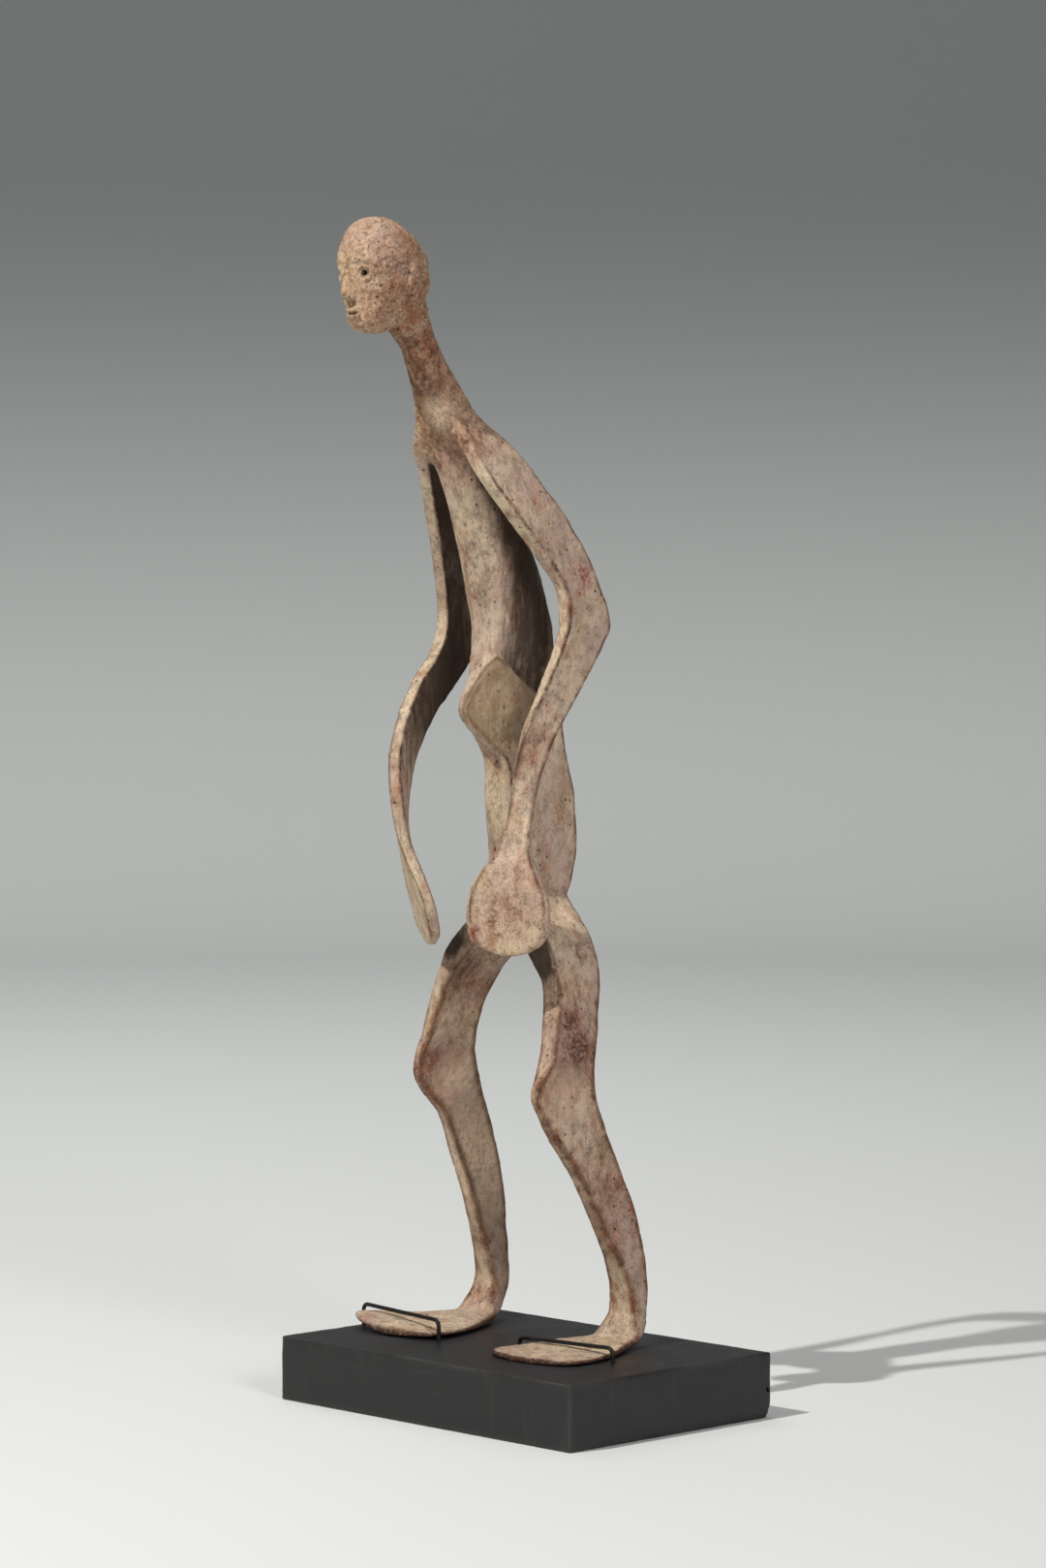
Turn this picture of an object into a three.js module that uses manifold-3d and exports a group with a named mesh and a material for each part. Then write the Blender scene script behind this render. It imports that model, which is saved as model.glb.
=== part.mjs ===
// A slender carved wooden figure standing on a black block, held there by two bent wires over its feet.
// Millimetres, +Z up. The origin is the middle of the block's underside. The figure faces -Y, so its left is +X.
import * as THREE from "three";
import Module from "manifold-3d";

const wasm = await Module();
wasm.setup();

// Driving dimensions
const BLOCK_WIDTH = 320;
const BLOCK_DEPTH = 216;
const BLOCK_HEIGHT = 50;
const FIT_GAP = 0.3; // between pieces that touch
const MIDLINE = -16; // the body stands a little off the middle of the block
const SOLE = BLOCK_HEIGHT + FIT_GAP; // where the feet rest
const SOLE_TRIM = 0.6; // cut off under the feet, so that they stand flat
const RING_STEP = 12; // greatest distance between two sections of a limb
const LIMB_SIDES = 14; // points round a limb
const TRUNK_SIDES = 20; // points round the head and the body
const SMALL_SIDES = 10; // points round the nose, the mouth and the ears

const WIRE_RADIUS = 1.6;
const WIRE_BEND = 5; // radius of a staple's corners, at the middle of the wire
const WIRE_ROOT = 14; // how far a staple's leg goes into the block
const WIRE_SIDES = 8;
const BEND_STEPS = 4; // pieces in a corner of the wire
const HOLE_SIDES = 16;
const HOLE_RADIUS = WIRE_RADIUS + FIT_GAP + 0.1; // 0.1 makes up for the flats of a many-sided hole
const HOLE_DEPTH = WIRE_ROOT + FIT_GAP;
const DRILL_OVER = 1; // the drill starts this far above the block

const radians = (degrees) => (degrees * Math.PI) / 180;
const power = (value, exponent) => Math.sign(value) * Math.abs(value) ** exponent;

// A curve through the values at these places that never overshoots between two of them
function through(places, values) {
  const n = places.length;
  const slope = [];
  for (let i = 0; i < n - 1; i++) {
    slope.push((values[i + 1] - values[i]) / (places[i + 1] - places[i]));
  }
  const tangent = values.map((_, i) => {
    if (i === 0) return slope[0];
    if (i === n - 1) return slope[n - 2];
    if (slope[i - 1] * slope[i] <= 0) return 0;
    return (2 * slope[i - 1] * slope[i]) / (slope[i - 1] + slope[i]);
  });
  return (place) => {
    let i = 0;
    while (i < n - 2 && place > places[i + 1]) i++;
    const run = places[i + 1] - places[i];
    const t = (place - places[i]) / run;
    const t2 = t * t;
    const t3 = t2 * t;
    return (
      (2 * t3 - 3 * t2 + 1) * values[i] +
      (t3 - 2 * t2 + t) * run * tangent[i] +
      (3 * t2 - 2 * t3) * values[i + 1] +
      (t3 - t2) * run * tangent[i + 1]
    );
  };
}

// Places from the first station to the last, with every station among them
function spread(places, step) {
  const out = [places[0]];
  for (let i = 1; i < places.length; i++) {
    const run = places[i] - places[i - 1];
    const pieces = Math.max(1, Math.round(run / step));
    for (let k = 1; k <= pieces; k++) {
      out.push(places[i - 1] + (run * k) / pieces);
    }
  }
  return out;
}

function toManifold(vertices, triangles) {
  const mesh = new wasm.Mesh({
    numProp: 3,
    vertProperties: Float32Array.from(vertices),
    triVerts: Uint32Array.from(triangles),
  });
  mesh.merge();
  return new wasm.Manifold(mesh);
}

// A closed solid from rings of points, capped at both ends
function skin(rings) {
  const sides = rings[0].length;
  const points = rings.flat();
  const cap = points.length;
  const middle = (ring) =>
    ring.reduce((sum, p) => sum.add(p), new THREE.Vector3()).divideScalar(sides);
  points.push(middle(rings[0]), middle(rings.at(-1)));
  const faces = [];
  for (let r = 0; r < rings.length - 1; r++) {
    for (let s = 0; s < sides; s++) {
      const a = r * sides + s;
      const b = r * sides + ((s + 1) % sides);
      faces.push(a, b + sides, b, a, a + sides, b + sides);
    }
  }
  const last = (rings.length - 1) * sides;
  for (let s = 0; s < sides; s++) {
    const next = (s + 1) % sides;
    faces.push(cap, s, next, cap + 1, last + next, last + s);
  }
  return toManifold(points.flatMap((p) => [p.x, p.y, p.z]), faces);
}

// A limb is a row of sections from its upper end to its lower end. A station gives a section's centre x, y, z, its
// depth from front to back, the width of its front and of its back face, how far it is turned (positive moves the
// back outwards), how far it is tipped forward (90 lays the front face upwards, as on a foot) and how square its
// corners are (2 is an ellipse, 5 nearly a box). x is counted outwards from the midline.
const PLAIN = { x: 0, y: 0, z: 0, depth: 40, front: 16, back: 16, turn: 0, tip: 0, square: 4 };

function limb(stations, { side = 1, sides = LIMB_SIDES } = {}) {
  const full = stations.map((s) => ({ ...PLAIN, ...s }));
  const places = [0];
  for (let i = 1; i < full.length; i++) {
    const a = full[i - 1];
    const b = full[i];
    places.push(places[i - 1] + Math.hypot(b.x - a.x, b.y - a.y, b.z - a.z));
  }
  const curves = Object.keys(PLAIN).map((field) => [
    field,
    through(places, full.map((s) => s[field])),
  ]);
  const rings = spread(places, RING_STEP).map((place) => {
    const at = Object.fromEntries(curves.map(([field, curve]) => [field, curve(place)]));
    const turn = radians(at.turn);
    const tip = radians(at.tip);
    return Array.from({ length: sides }, (_, k) => {
      const angle = (2 * Math.PI * (k + 0.5)) / sides;
      const back = power(Math.sin(angle), 2 / at.square);
      const width = at.front + ((at.back - at.front) * (back + 1)) / 2;
      const across = (power(Math.cos(angle), 2 / at.square) * width) / 2;
      const along = (back * at.depth) / 2;
      const p = across * Math.cos(turn) + along * Math.sin(turn);
      const q = along * Math.cos(turn) - across * Math.sin(turn);
      return new THREE.Vector3(
        MIDLINE + side * (at.x + p),
        at.y + q * Math.cos(tip),
        at.z - q * Math.sin(tip),
      );
    });
  });
  if (side < 0) rings.forEach((ring) => ring.reverse());
  return skin(rings);
}

// Head, an egg carried forward of the neck
const HEAD = [
  { z: 908, y: -140, depth: 14, front: 12, back: 14, square: 2 },
  { z: 906, y: -139, depth: 26, front: 24, back: 26, square: 2 },
  { z: 901, y: -138, depth: 42, front: 36, back: 41, square: 2 },
  { z: 892, y: -135, depth: 57, front: 47, back: 55, square: 2.1 },
  { z: 876, y: -132, depth: 69, front: 54, back: 64, square: 2.2 },
  { z: 860, y: -130, depth: 70, front: 52, back: 64, square: 2.2 },
  { z: 845, y: -132, depth: 62, front: 44, back: 56, square: 2.2 },
  { z: 833, y: -137, depth: 48, front: 34, back: 44, square: 2.2 },
  { z: 825, y: -142, depth: 32, front: 24, back: 30, square: 2.1 },
  { z: 822, y: -143, depth: 16, front: 12, back: 16, square: 2 },
];

// Plain features of our own: a wedge of a nose, a small round mouth and low ears
const NOSE = [
  { z: 868, y: -164, depth: 6, front: 4, back: 6, square: 2.4 },
  { z: 858, y: -166, depth: 9, front: 5, back: 10, square: 2.4 },
  { z: 850, y: -166, depth: 12, front: 8, back: 15, square: 2.4 },
  { z: 846, y: -164, depth: 10, front: 9, back: 14, square: 2.4 },
];
const MOUTH = [
  { z: 841, y: -158, depth: 12, front: 8, back: 16, square: 2.2 },
  { z: 837, y: -158, depth: 16, front: 14, back: 20, square: 2.2 },
  { z: 832, y: -156, depth: 12, front: 8, back: 16, square: 2.2 },
];
const EAR = [
  { x: 30, z: 873, y: -126, depth: 6, front: 3, back: 3, square: 2.2 },
  { x: 31, z: 864, y: -125, depth: 12, front: 5, back: 6, square: 2.2 },
  { x: 29, z: 850, y: -127, depth: 7, front: 4, back: 4, square: 2.2 },
];

// Neck, yoke of the shoulders, chest, the keel of the belly and the loins in one column
const TRUNK = [
  { z: 850, y: -113, depth: 38, front: 30, back: 38, square: 2 },
  { z: 832, y: -107, depth: 37, front: 30, back: 36, square: 2 },
  { z: 812, y: -93, depth: 30, front: 28, back: 30, square: 2.1 },
  { z: 793, y: -82, depth: 32, front: 32, back: 36, square: 2.2 },
  { z: 777, y: -74, depth: 36, front: 38, back: 44, square: 2.2 },
  { z: 762, y: -67, depth: 38, front: 48, back: 58, square: 2.3 },
  { z: 749, y: -61, depth: 38, front: 56, back: 66, square: 2.4 },
  { z: 736, y: -55, depth: 34, front: 52, back: 60, square: 2.6 },
  { z: 722, y: -47, depth: 36, front: 42, back: 48, square: 2.6 },
  { z: 706, y: -39, depth: 40, front: 40, back: 46, square: 2.5 },
  { z: 675, y: -22, depth: 48, front: 48, back: 54, square: 2.5 },
  { z: 638, y: -8, depth: 53, front: 52, back: 60, square: 2.6 },
  { z: 601, y: 1, depth: 60, front: 50, back: 60, square: 2.7 },
  { z: 580, y: 1, depth: 66, front: 40, back: 58, square: 3 },
  { z: 562, y: -2, depth: 77, front: 16, back: 54, square: 4 },
  { z: 539, y: -6, depth: 91, front: 8, back: 48, square: 5 },
  { z: 518, y: 5, depth: 76, front: 12, back: 42, square: 5 },
  { z: 500, y: 16, depth: 64, front: 27, back: 38, square: 5 },
  { z: 466, y: 22, depth: 69, front: 33, back: 38, square: 5 },
  { z: 428, y: 25, depth: 67, front: 34, back: 36, square: 5 },
  { z: 405, y: 24, depth: 60, front: 32, back: 34, square: 4.5 },
  { z: 393, y: 23, depth: 52, front: 33, back: 34, square: 4 },
  { z: 378, y: 20, depth: 50, front: 40, back: 40, square: 4 },
  { z: 365, y: 18, depth: 48, front: 46, back: 46, square: 4 },
  { z: 357, y: 17, depth: 40, front: 36, back: 36, square: 3 },
  { z: 353, y: 17, depth: 26, front: 20, back: 20, square: 3 },
];

// An arm is a plank from the shoulder out to the elbow and forward to the flat of the hand
const LEFT_ARM = [
  { z: 790, x: 3, y: -80, depth: 20, front: 12, back: 12, square: 3 },
  { z: 768, x: 10, y: -70, depth: 32, front: 20, back: 20, square: 3 },
  { z: 752, x: 20, y: -60, depth: 40, front: 22, back: 22, square: 3 },
  { z: 739, x: 31, y: -54, depth: 46, front: 18, back: 18 },
  { z: 726, x: 39, y: -48, depth: 52, front: 16, back: 16 },
  { z: 710, x: 47, y: -41, depth: 54, front: 16, back: 15 },
  { z: 691, x: 56, y: -30, depth: 54, front: 15, back: 14, square: 5 },
  { z: 676, x: 61, y: -21, depth: 51, front: 15, back: 14, square: 5 },
  { z: 656, x: 67, y: -9, depth: 46, front: 14, back: 14, square: 5 },
  { z: 632, x: 72, y: 3, depth: 39, front: 12, back: 13, square: 5 },
  { z: 617, x: 73, y: 8, depth: 42, front: 12, back: 13, square: 5 },
  { z: 604, x: 73, y: 9, depth: 45, front: 12, back: 13, square: 5 },
  { z: 592, x: 71, y: 6, depth: 42, front: 12, back: 13, turn: 3, square: 5 },
  { z: 579, x: 69, y: 1, depth: 38, front: 12, back: 13, turn: 6, square: 5 },
  { z: 547, x: 62, y: -12, depth: 31, front: 11, back: 12, turn: 16, square: 5 },
  { z: 517, x: 56, y: -25, depth: 25, front: 10, back: 11, turn: 30, square: 5 },
  { z: 485, x: 51, y: -31, depth: 21, front: 10, back: 10, turn: 48 },
  { z: 460, x: 48, y: -33, depth: 20, front: 10, back: 10, turn: 57 },
  { z: 445, x: 47, y: -36, depth: 22, front: 10, back: 10, turn: 60 },
  { z: 432, x: 46, y: -39, depth: 28, front: 9, back: 9, turn: 62 },
  { z: 418, x: 46, y: -43, depth: 45, front: 9, back: 9, turn: 62 },
  { z: 403, x: 46, y: -45, depth: 61, front: 9, back: 9, turn: 62 },
  { z: 388, x: 46, y: -45, depth: 67, front: 9, back: 9, turn: 62 },
  { z: 374, x: 46, y: -45, depth: 65, front: 8, back: 8, turn: 62 },
  { z: 363, x: 46, y: -44, depth: 53, front: 8, back: 8, turn: 62 },
  { z: 357, x: 46, y: -44, depth: 34, front: 7, back: 7, turn: 62, square: 3 },
  { z: 354, x: 46, y: -44, depth: 14, front: 5, back: 5, turn: 62, square: 3 },
];

const RIGHT_ARM = [
  { z: 790, x: 3, y: -80, depth: 20, front: 12, back: 12, square: 3 },
  { z: 768, x: 9, y: -70, depth: 30, front: 20, back: 20, square: 3 },
  { z: 752, x: 17, y: -62, depth: 34, front: 20, back: 22, square: 3 },
  { z: 738, x: 25, y: -54, depth: 35, front: 17, back: 19 },
  { z: 719, x: 34, y: -40, depth: 37, front: 14, back: 14 },
  { z: 690, x: 47, y: -18, depth: 42, front: 13, back: 13, square: 5 },
  { z: 655, x: 61, y: 3, depth: 44, front: 13, back: 13, square: 5 },
  { z: 632, x: 68, y: 13, depth: 43, front: 13, back: 13, square: 5 },
  { z: 608, x: 72, y: 19, depth: 44, front: 13, back: 13, square: 5 },
  { z: 599, x: 72, y: 17, depth: 45, front: 13, back: 13, turn: 2, square: 5 },
  { z: 590, x: 72, y: 14, depth: 45, front: 13, back: 13, turn: 3, square: 5 },
  { z: 576, x: 70, y: 1, depth: 43, front: 12, back: 13, turn: 5, square: 5 },
  { z: 562, x: 67, y: -15, depth: 42, front: 12, back: 13, turn: 6, square: 5 },
  { z: 549, x: 63, y: -28, depth: 40, front: 11, back: 12, turn: 8, square: 5 },
  { z: 537, x: 60, y: -40, depth: 38, front: 11, back: 12, turn: 12, square: 5 },
  { z: 518, x: 56, y: -54, depth: 34, front: 10, back: 11, turn: 18, square: 5 },
  { z: 500, x: 53, y: -63, depth: 32, front: 10, back: 10, turn: 24, square: 5 },
  { z: 475, x: 50, y: -68, depth: 30, front: 10, back: 10, turn: 34 },
  { z: 455, x: 48, y: -69, depth: 28, front: 10, back: 10, turn: 42 },
  { z: 438, x: 47, y: -66, depth: 30, front: 10, back: 10, turn: 48 },
  { z: 422, x: 46, y: -61, depth: 42, front: 10, back: 10, turn: 54 },
  { z: 405, x: 46, y: -54, depth: 60, front: 10, back: 10, turn: 57 },
  { z: 388, x: 46, y: -48, depth: 66, front: 9, back: 9, turn: 58 },
  { z: 376, x: 46, y: -44, depth: 62, front: 9, back: 9, turn: 58 },
  { z: 366, x: 46, y: -41, depth: 48, front: 8, back: 8, turn: 58 },
  { z: 361, x: 46, y: -40, depth: 32, front: 7, back: 7, turn: 58, square: 3 },
  { z: 358, x: 46, y: -39, depth: 14, front: 5, back: 5, turn: 58, square: 3 },
];

// A foot is a thin fan lying on the block: distance forward of the heel's bend, width and thickness
const FAN = [
  { out: 0, width: 46, thick: 10 },
  { out: 22, width: 68, thick: 7.6 },
  { out: 46, width: 85, thick: 6.2 },
  { out: 66, width: 93, thick: 6 },
  { out: 78, width: 92, thick: 5.8 },
  { out: 87, width: 81, thick: 5.4 },
  { out: 93, width: 60, thick: 5 },
  { out: 97, width: 26, thick: 4 },
];

const FAN_BEVEL = 3; // the top of a foot is this much narrower than its sole

// turn raises the outer edge of the toes, lift raises both edges and spread widens the whole fan
function fan({ x, heel, lift = 0, turn = 0, spread = 1 }) {
  const reach = FAN.at(-1).out;
  return FAN.map(({ out, width: plain, thick }) => {
    const share = out / reach;
    const width = plain * spread;
    const inner = (width / 2) * Math.sin(radians(turn * share));
    return {
      x,
      y: heel - out,
      z: SOLE - SOLE_TRIM + thick / 2 + inner + lift * share,
      depth: thick,
      front: width - FAN_BEVEL,
      back: width,
      turn: turn * share,
      tip: 90,
      square: 3,
    };
  });
}

// A leg is a plank set edge on, with a thin ridge at the knee, that widens at the ankle into the foot
const LEFT_LEG = [
  { z: 406, x: 3, y: 23, depth: 44, front: 20, back: 20 },
  { z: 394, x: 8, y: 22, depth: 48, front: 25, back: 26 },
  { z: 382, x: 16, y: 21, depth: 50, front: 32, back: 33 },
  { z: 368, x: 28, y: 19, depth: 52, front: 34, back: 35 },
  { z: 352, x: 40, y: 18, depth: 52, front: 29, back: 29 },
  { z: 330, x: 51, y: 17, depth: 47, front: 18, back: 19, square: 5 },
  { z: 310, x: 55, y: 13, depth: 45, front: 18, back: 18, square: 5 },
  { z: 275, x: 61, y: 3, depth: 46, front: 17, back: 18, square: 5 },
  { z: 264, x: 63, y: -2, depth: 51, front: 12, back: 18, square: 5 },
  { z: 247, x: 66, y: -9, depth: 61, front: 5, back: 19, square: 5 },
  { z: 227, x: 67, y: -1, depth: 58, front: 6, back: 18, square: 5 },
  { z: 213, x: 68, y: 6, depth: 53, front: 8, back: 18, square: 5 },
  { z: 199, x: 69, y: 15, depth: 48, front: 10, back: 17, square: 5 },
  { z: 179, x: 71, y: 26, depth: 44, front: 12, back: 16, square: 5 },
  { z: 155, x: 73, y: 37, depth: 41, front: 13, back: 16, square: 5 },
  { z: 134, x: 75, y: 45, depth: 37, front: 15, back: 17 },
  { z: 112, x: 76, y: 52, depth: 28, front: 21, back: 20 },
  { z: 92, x: 76, y: 55, depth: 20, front: 27, back: 26, tip: 4 },
  { z: 74, x: 76, y: 54, depth: 15, front: 32, back: 32, tip: 24 },
  { z: 61, x: 76, y: 46, depth: 13, front: 39, back: 39, tip: 56 },
  ...fan({ x: 76, heel: 34 }),
];

const RIGHT_LEG = [
  { z: 406, x: 3, y: 23, depth: 44, front: 20, back: 20 },
  { z: 394, x: 8, y: 21, depth: 48, front: 25, back: 26 },
  { z: 382, x: 16, y: 18, depth: 52, front: 32, back: 33 },
  { z: 368, x: 27, y: 13, depth: 58, front: 33, back: 34 },
  { z: 352, x: 38, y: 8, depth: 60, front: 28, back: 29 },
  { z: 334, x: 47, y: 2, depth: 57, front: 16, back: 20 },
  { z: 306, x: 57, y: -4, depth: 49, front: 11, back: 17, square: 5 },
  { z: 290, x: 62, y: -5, depth: 49, front: 10, back: 17, square: 5 },
  { z: 273, x: 68, y: -5, depth: 54, front: 9, back: 18, square: 5 },
  { z: 256, x: 73, y: -1, depth: 61, front: 6, back: 19, square: 5 },
  { z: 241, x: 77, y: 9, depth: 56, front: 7, back: 18, square: 5 },
  { z: 221, x: 81, y: 26, depth: 45, front: 10, back: 17, square: 5 },
  { z: 193, x: 86, y: 41, depth: 42, front: 12, back: 16, square: 5 },
  { z: 169, x: 90, y: 53, depth: 38, front: 13, back: 16, square: 5 },
  { z: 145, x: 92, y: 61, depth: 33, front: 14, back: 16, square: 5 },
  { z: 125, x: 94, y: 67, depth: 29, front: 16, back: 17 },
  { z: 104, x: 95, y: 72, depth: 25, front: 19, back: 18 },
  { z: 86, x: 96, y: 74, depth: 20, front: 23, back: 22, tip: 6 },
  { z: 71, x: 96, y: 69, depth: 15, front: 29, back: 29, tip: 30 },
  { z: 61, x: 94, y: 60, depth: 13, front: 36, back: 36, tip: 58 },
  ...fan({ x: 91, heel: 46, lift: 1, turn: 6, spread: 1.04 }),
];

function figure() {
  const ground = new THREE.BoxGeometry(BLOCK_WIDTH * 2, BLOCK_DEPTH * 2, SOLE);
  ground.translate(0, 0, SOLE / 2);
  const carved = [
    limb(HEAD, { sides: TRUNK_SIDES }),
    limb(NOSE, { sides: SMALL_SIDES }),
    limb(MOUTH, { sides: SMALL_SIDES }),
    limb(EAR, { sides: SMALL_SIDES }),
    limb(EAR, { sides: SMALL_SIDES, side: -1 }),
    limb(TRUNK, { sides: TRUNK_SIDES }),
    limb(LEFT_ARM),
    limb(RIGHT_ARM, { side: -1 }),
    limb(LEFT_LEG),
    limb(RIGHT_LEG, { side: -1 }),
  ].reduce((whole, piece) => whole.add(piece));
  return carved.subtract(solidOf(ground));
}

// Each staple: the place of its inner and outer legs on the block and the height of the wire over each
const STAPLES = {
  left: { inner: [7, -11, 57.2], outer: [112, -15, 61.2] },
  right: { inner: [-55, -38, 66], outer: [-157, -24, 66.5] },
};

// A bent wire: up from one leg, over the foot and down the other, rounded at both corners
function staple({ inner, outer }) {
  const foot = ([x, y]) => new THREE.Vector3(x, y, BLOCK_HEIGHT - WIRE_ROOT);
  const corners = [foot(inner), new THREE.Vector3(...inner), new THREE.Vector3(...outer), foot(outer)];
  const path = [corners[0]];
  for (const i of [1, 2]) {
    const before = corners[i - 1].clone().sub(corners[i]).normalize();
    const after = corners[i + 1].clone().sub(corners[i]).normalize();
    const half = before.angleTo(after) / 2;
    const middle = before.clone().add(after).normalize();
    const centre = corners[i].clone().addScaledVector(middle, WIRE_BEND / Math.sin(half));
    const start = corners[i].clone().addScaledVector(before, WIRE_BEND / Math.tan(half)).sub(centre);
    const end = corners[i].clone().addScaledVector(after, WIRE_BEND / Math.tan(half)).sub(centre);
    const swing = start.angleTo(end);
    const axis = start.clone().cross(end).normalize();
    for (let k = 0; k <= BEND_STEPS; k++) {
      path.push(start.clone().applyAxisAngle(axis, (swing * k) / BEND_STEPS).add(centre));
    }
  }
  path.push(corners[3]);
  const flat = corners[1].clone().sub(corners[2]).cross(new THREE.Vector3(0, 0, 1)).normalize();
  const rings = path.map((p, i) => {
    const ahead = path[Math.min(i + 1, path.length - 1)];
    const behind = path[Math.max(i - 1, 0)];
    const run = ahead.clone().sub(behind).normalize();
    const up = flat.clone().cross(run);
    return Array.from({ length: WIRE_SIDES }, (_, k) => {
      const angle = (2 * Math.PI * k) / WIRE_SIDES;
      return p
        .clone()
        .addScaledVector(flat, WIRE_RADIUS * Math.cos(angle))
        .addScaledVector(up, WIRE_RADIUS * Math.sin(angle));
    });
  });
  return skin(rings);
}

// A three.js shape as a solid
function solidOf(geometry) {
  const position = geometry.toNonIndexed().getAttribute("position");
  return toManifold(position.array, Array.from({ length: position.count }, (_, i) => i));
}

function block() {
  const body = new THREE.BoxGeometry(BLOCK_WIDTH, BLOCK_DEPTH, BLOCK_HEIGHT);
  body.translate(0, 0, BLOCK_HEIGHT / 2);
  const legs = Object.values(STAPLES).flatMap(({ inner, outer }) => [inner, outer]);
  return legs.reduce((whole, [x, y]) => {
    const length = HOLE_DEPTH + DRILL_OVER;
    const hole = new THREE.CylinderGeometry(HOLE_RADIUS, HOLE_RADIUS, length, HOLE_SIDES);
    hole.rotateX(radians(90));
    hole.translate(x, y, BLOCK_HEIGHT + DRILL_OVER - length / 2);
    return whole.subtract(solidOf(hole));
  }, solidOf(body));
}

const wood = new THREE.MeshStandardMaterial({ color: 0xb29a86, roughness: 0.85, metalness: 0 });
const paint = new THREE.MeshStandardMaterial({ color: 0x1d1e1f, roughness: 0.55, metalness: 0 });
const iron = new THREE.MeshStandardMaterial({ color: 0x151515, roughness: 0.5, metalness: 0.6 });

function named(name, solid, material) {
  const mesh = solid.getMesh();
  const geometry = new THREE.BufferGeometry();
  geometry.setAttribute("position", new THREE.BufferAttribute(mesh.vertProperties, 3));
  geometry.setIndex(new THREE.BufferAttribute(mesh.triVerts, 1));
  const out = new THREE.Mesh(geometry, material);
  out.name = name;
  return out;
}

const group = new THREE.Group();
group.name = "figure_on_block";
group.add(named("block", block(), paint));
group.add(named("figure", figure(), wood));
group.add(named("staple_left", staple(STAPLES.left), iron));
group.add(named("staple_right", staple(STAPLES.right), iron));

export default group;
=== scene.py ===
# A slender carved wooden figure on a black block, held by two bent wires over its feet.
import math

import bmesh
import bpy
import numpy as np
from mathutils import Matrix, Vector, kdtree, noise
from mathutils.bvhtree import BVHTree


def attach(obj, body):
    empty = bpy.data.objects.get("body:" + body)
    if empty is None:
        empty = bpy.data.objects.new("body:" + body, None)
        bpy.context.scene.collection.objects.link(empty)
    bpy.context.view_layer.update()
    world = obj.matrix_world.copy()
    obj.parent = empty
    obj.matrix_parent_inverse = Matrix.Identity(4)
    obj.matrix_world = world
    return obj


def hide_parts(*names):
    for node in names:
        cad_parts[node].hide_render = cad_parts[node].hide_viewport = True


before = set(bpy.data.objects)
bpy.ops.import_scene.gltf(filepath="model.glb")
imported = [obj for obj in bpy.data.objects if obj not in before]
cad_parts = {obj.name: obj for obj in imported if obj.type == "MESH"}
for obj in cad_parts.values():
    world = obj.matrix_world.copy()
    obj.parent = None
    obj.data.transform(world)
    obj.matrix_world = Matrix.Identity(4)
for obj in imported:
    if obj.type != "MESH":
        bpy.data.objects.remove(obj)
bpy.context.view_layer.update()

MM = 0.001
BLOCK = (320, 216, 50)  # width, depth and height of the block
SOLE = 50.3  # where the feet rest
MIDLINE = -16  # the body stands a little off the middle of the block
RING_STEP = 3  # distance between two sections of a limb
LIMB_SIDES = 56  # points round one section of a limb
CORNER_GAIN = 1.5  # the edges of the planks are this much crisper than the solid
VOXEL = 1.0  # fineness of the grid that joins the limbs into one skin
FACES = 188000  # of the finished figure
PITS = 520
EYE_OUT, EYE_HEIGHT = 13, 865  # each eye's distance from the midline and its height
SEED = 7

rng = np.random.default_rng(SEED)
noise.seed_set(SEED)  # the generator that bends the splits of the crust


def smooth(low, high, value):
    """0 below low, 1 above high and a soft step between them."""
    t = np.clip((value - low) / (high - low), 0, 1)
    return t * t * (3 - 2 * t)


def curve(places, values, at):
    """A curve through the values at these places that never overshoots between two of them."""
    slope = np.diff(values) / np.diff(places)
    tangent = np.zeros(len(values))
    tangent[0], tangent[-1] = slope[0], slope[-1]
    product = slope[:-1] * slope[1:]
    total = slope[:-1] + slope[1:]
    tangent[1:-1] = np.where(product > 0, 2 * product / np.where(total == 0, 1, total), 0)
    i = np.clip(np.searchsorted(places, at) - 1, 0, len(places) - 2)
    run = places[i + 1] - places[i]
    t = (at - places[i]) / run
    return (
        (2 * t**3 - 3 * t**2 + 1) * values[i]
        + (t**3 - 2 * t**2 + t) * run * tangent[i]
        + (3 * t**2 - 2 * t**3) * values[i + 1]
        + (t**3 - t**2) * run * tangent[i + 1]
    )


# A limb is a row of sections from its upper end to its lower end, in millimetres. A station gives a
# section's centre x, y, z, its depth from front to back, the width of its front and of its back face,
# how far it is turned, how far it is tipped forward and how square its corners are, as in PLAIN
# where a table leaves it out. x is counted outwards from the midline.
PLAIN = dict(x=0, y=0, z=0, depth=40, front=16, back=16, turn=0, tip=0, square=4)


def rows(names, *values):
    """A table as one dictionary a row."""
    return [dict(zip(names.split(), row)) for row in values]


HEAD = rows(
    "z y depth front back square",
    (908, -140, 14, 12, 14, 2),
    (906, -139, 26, 24, 26, 2),
    (901, -138, 42, 36, 41, 2),
    (892, -135, 57, 47, 55, 2.1),
    (876, -132, 69, 54, 64, 2.2),
    (860, -130, 70, 52, 64, 2.2),
    (845, -132, 62, 44, 56, 2.2),
    (833, -137, 48, 34, 44, 2.2),
    (825, -142, 32, 24, 30, 2.1),
    (822, -143, 16, 12, 16, 2),
)
NOSE = rows(
    "z y depth front back square",
    (868, -164, 6, 4, 6, 2.4),
    (858, -166, 9, 5, 10, 2.4),
    (850, -166, 12, 8, 15, 2.4),
    (846, -164, 10, 9, 14, 2.4),
)
EAR = rows(
    "z x y depth front back square",
    (873, 30, -126, 6, 3, 3, 2.2),
    (864, 31, -125, 12, 5, 6, 2.2),
    (850, 29, -127, 7, 4, 4, 2.2),
)
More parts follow.
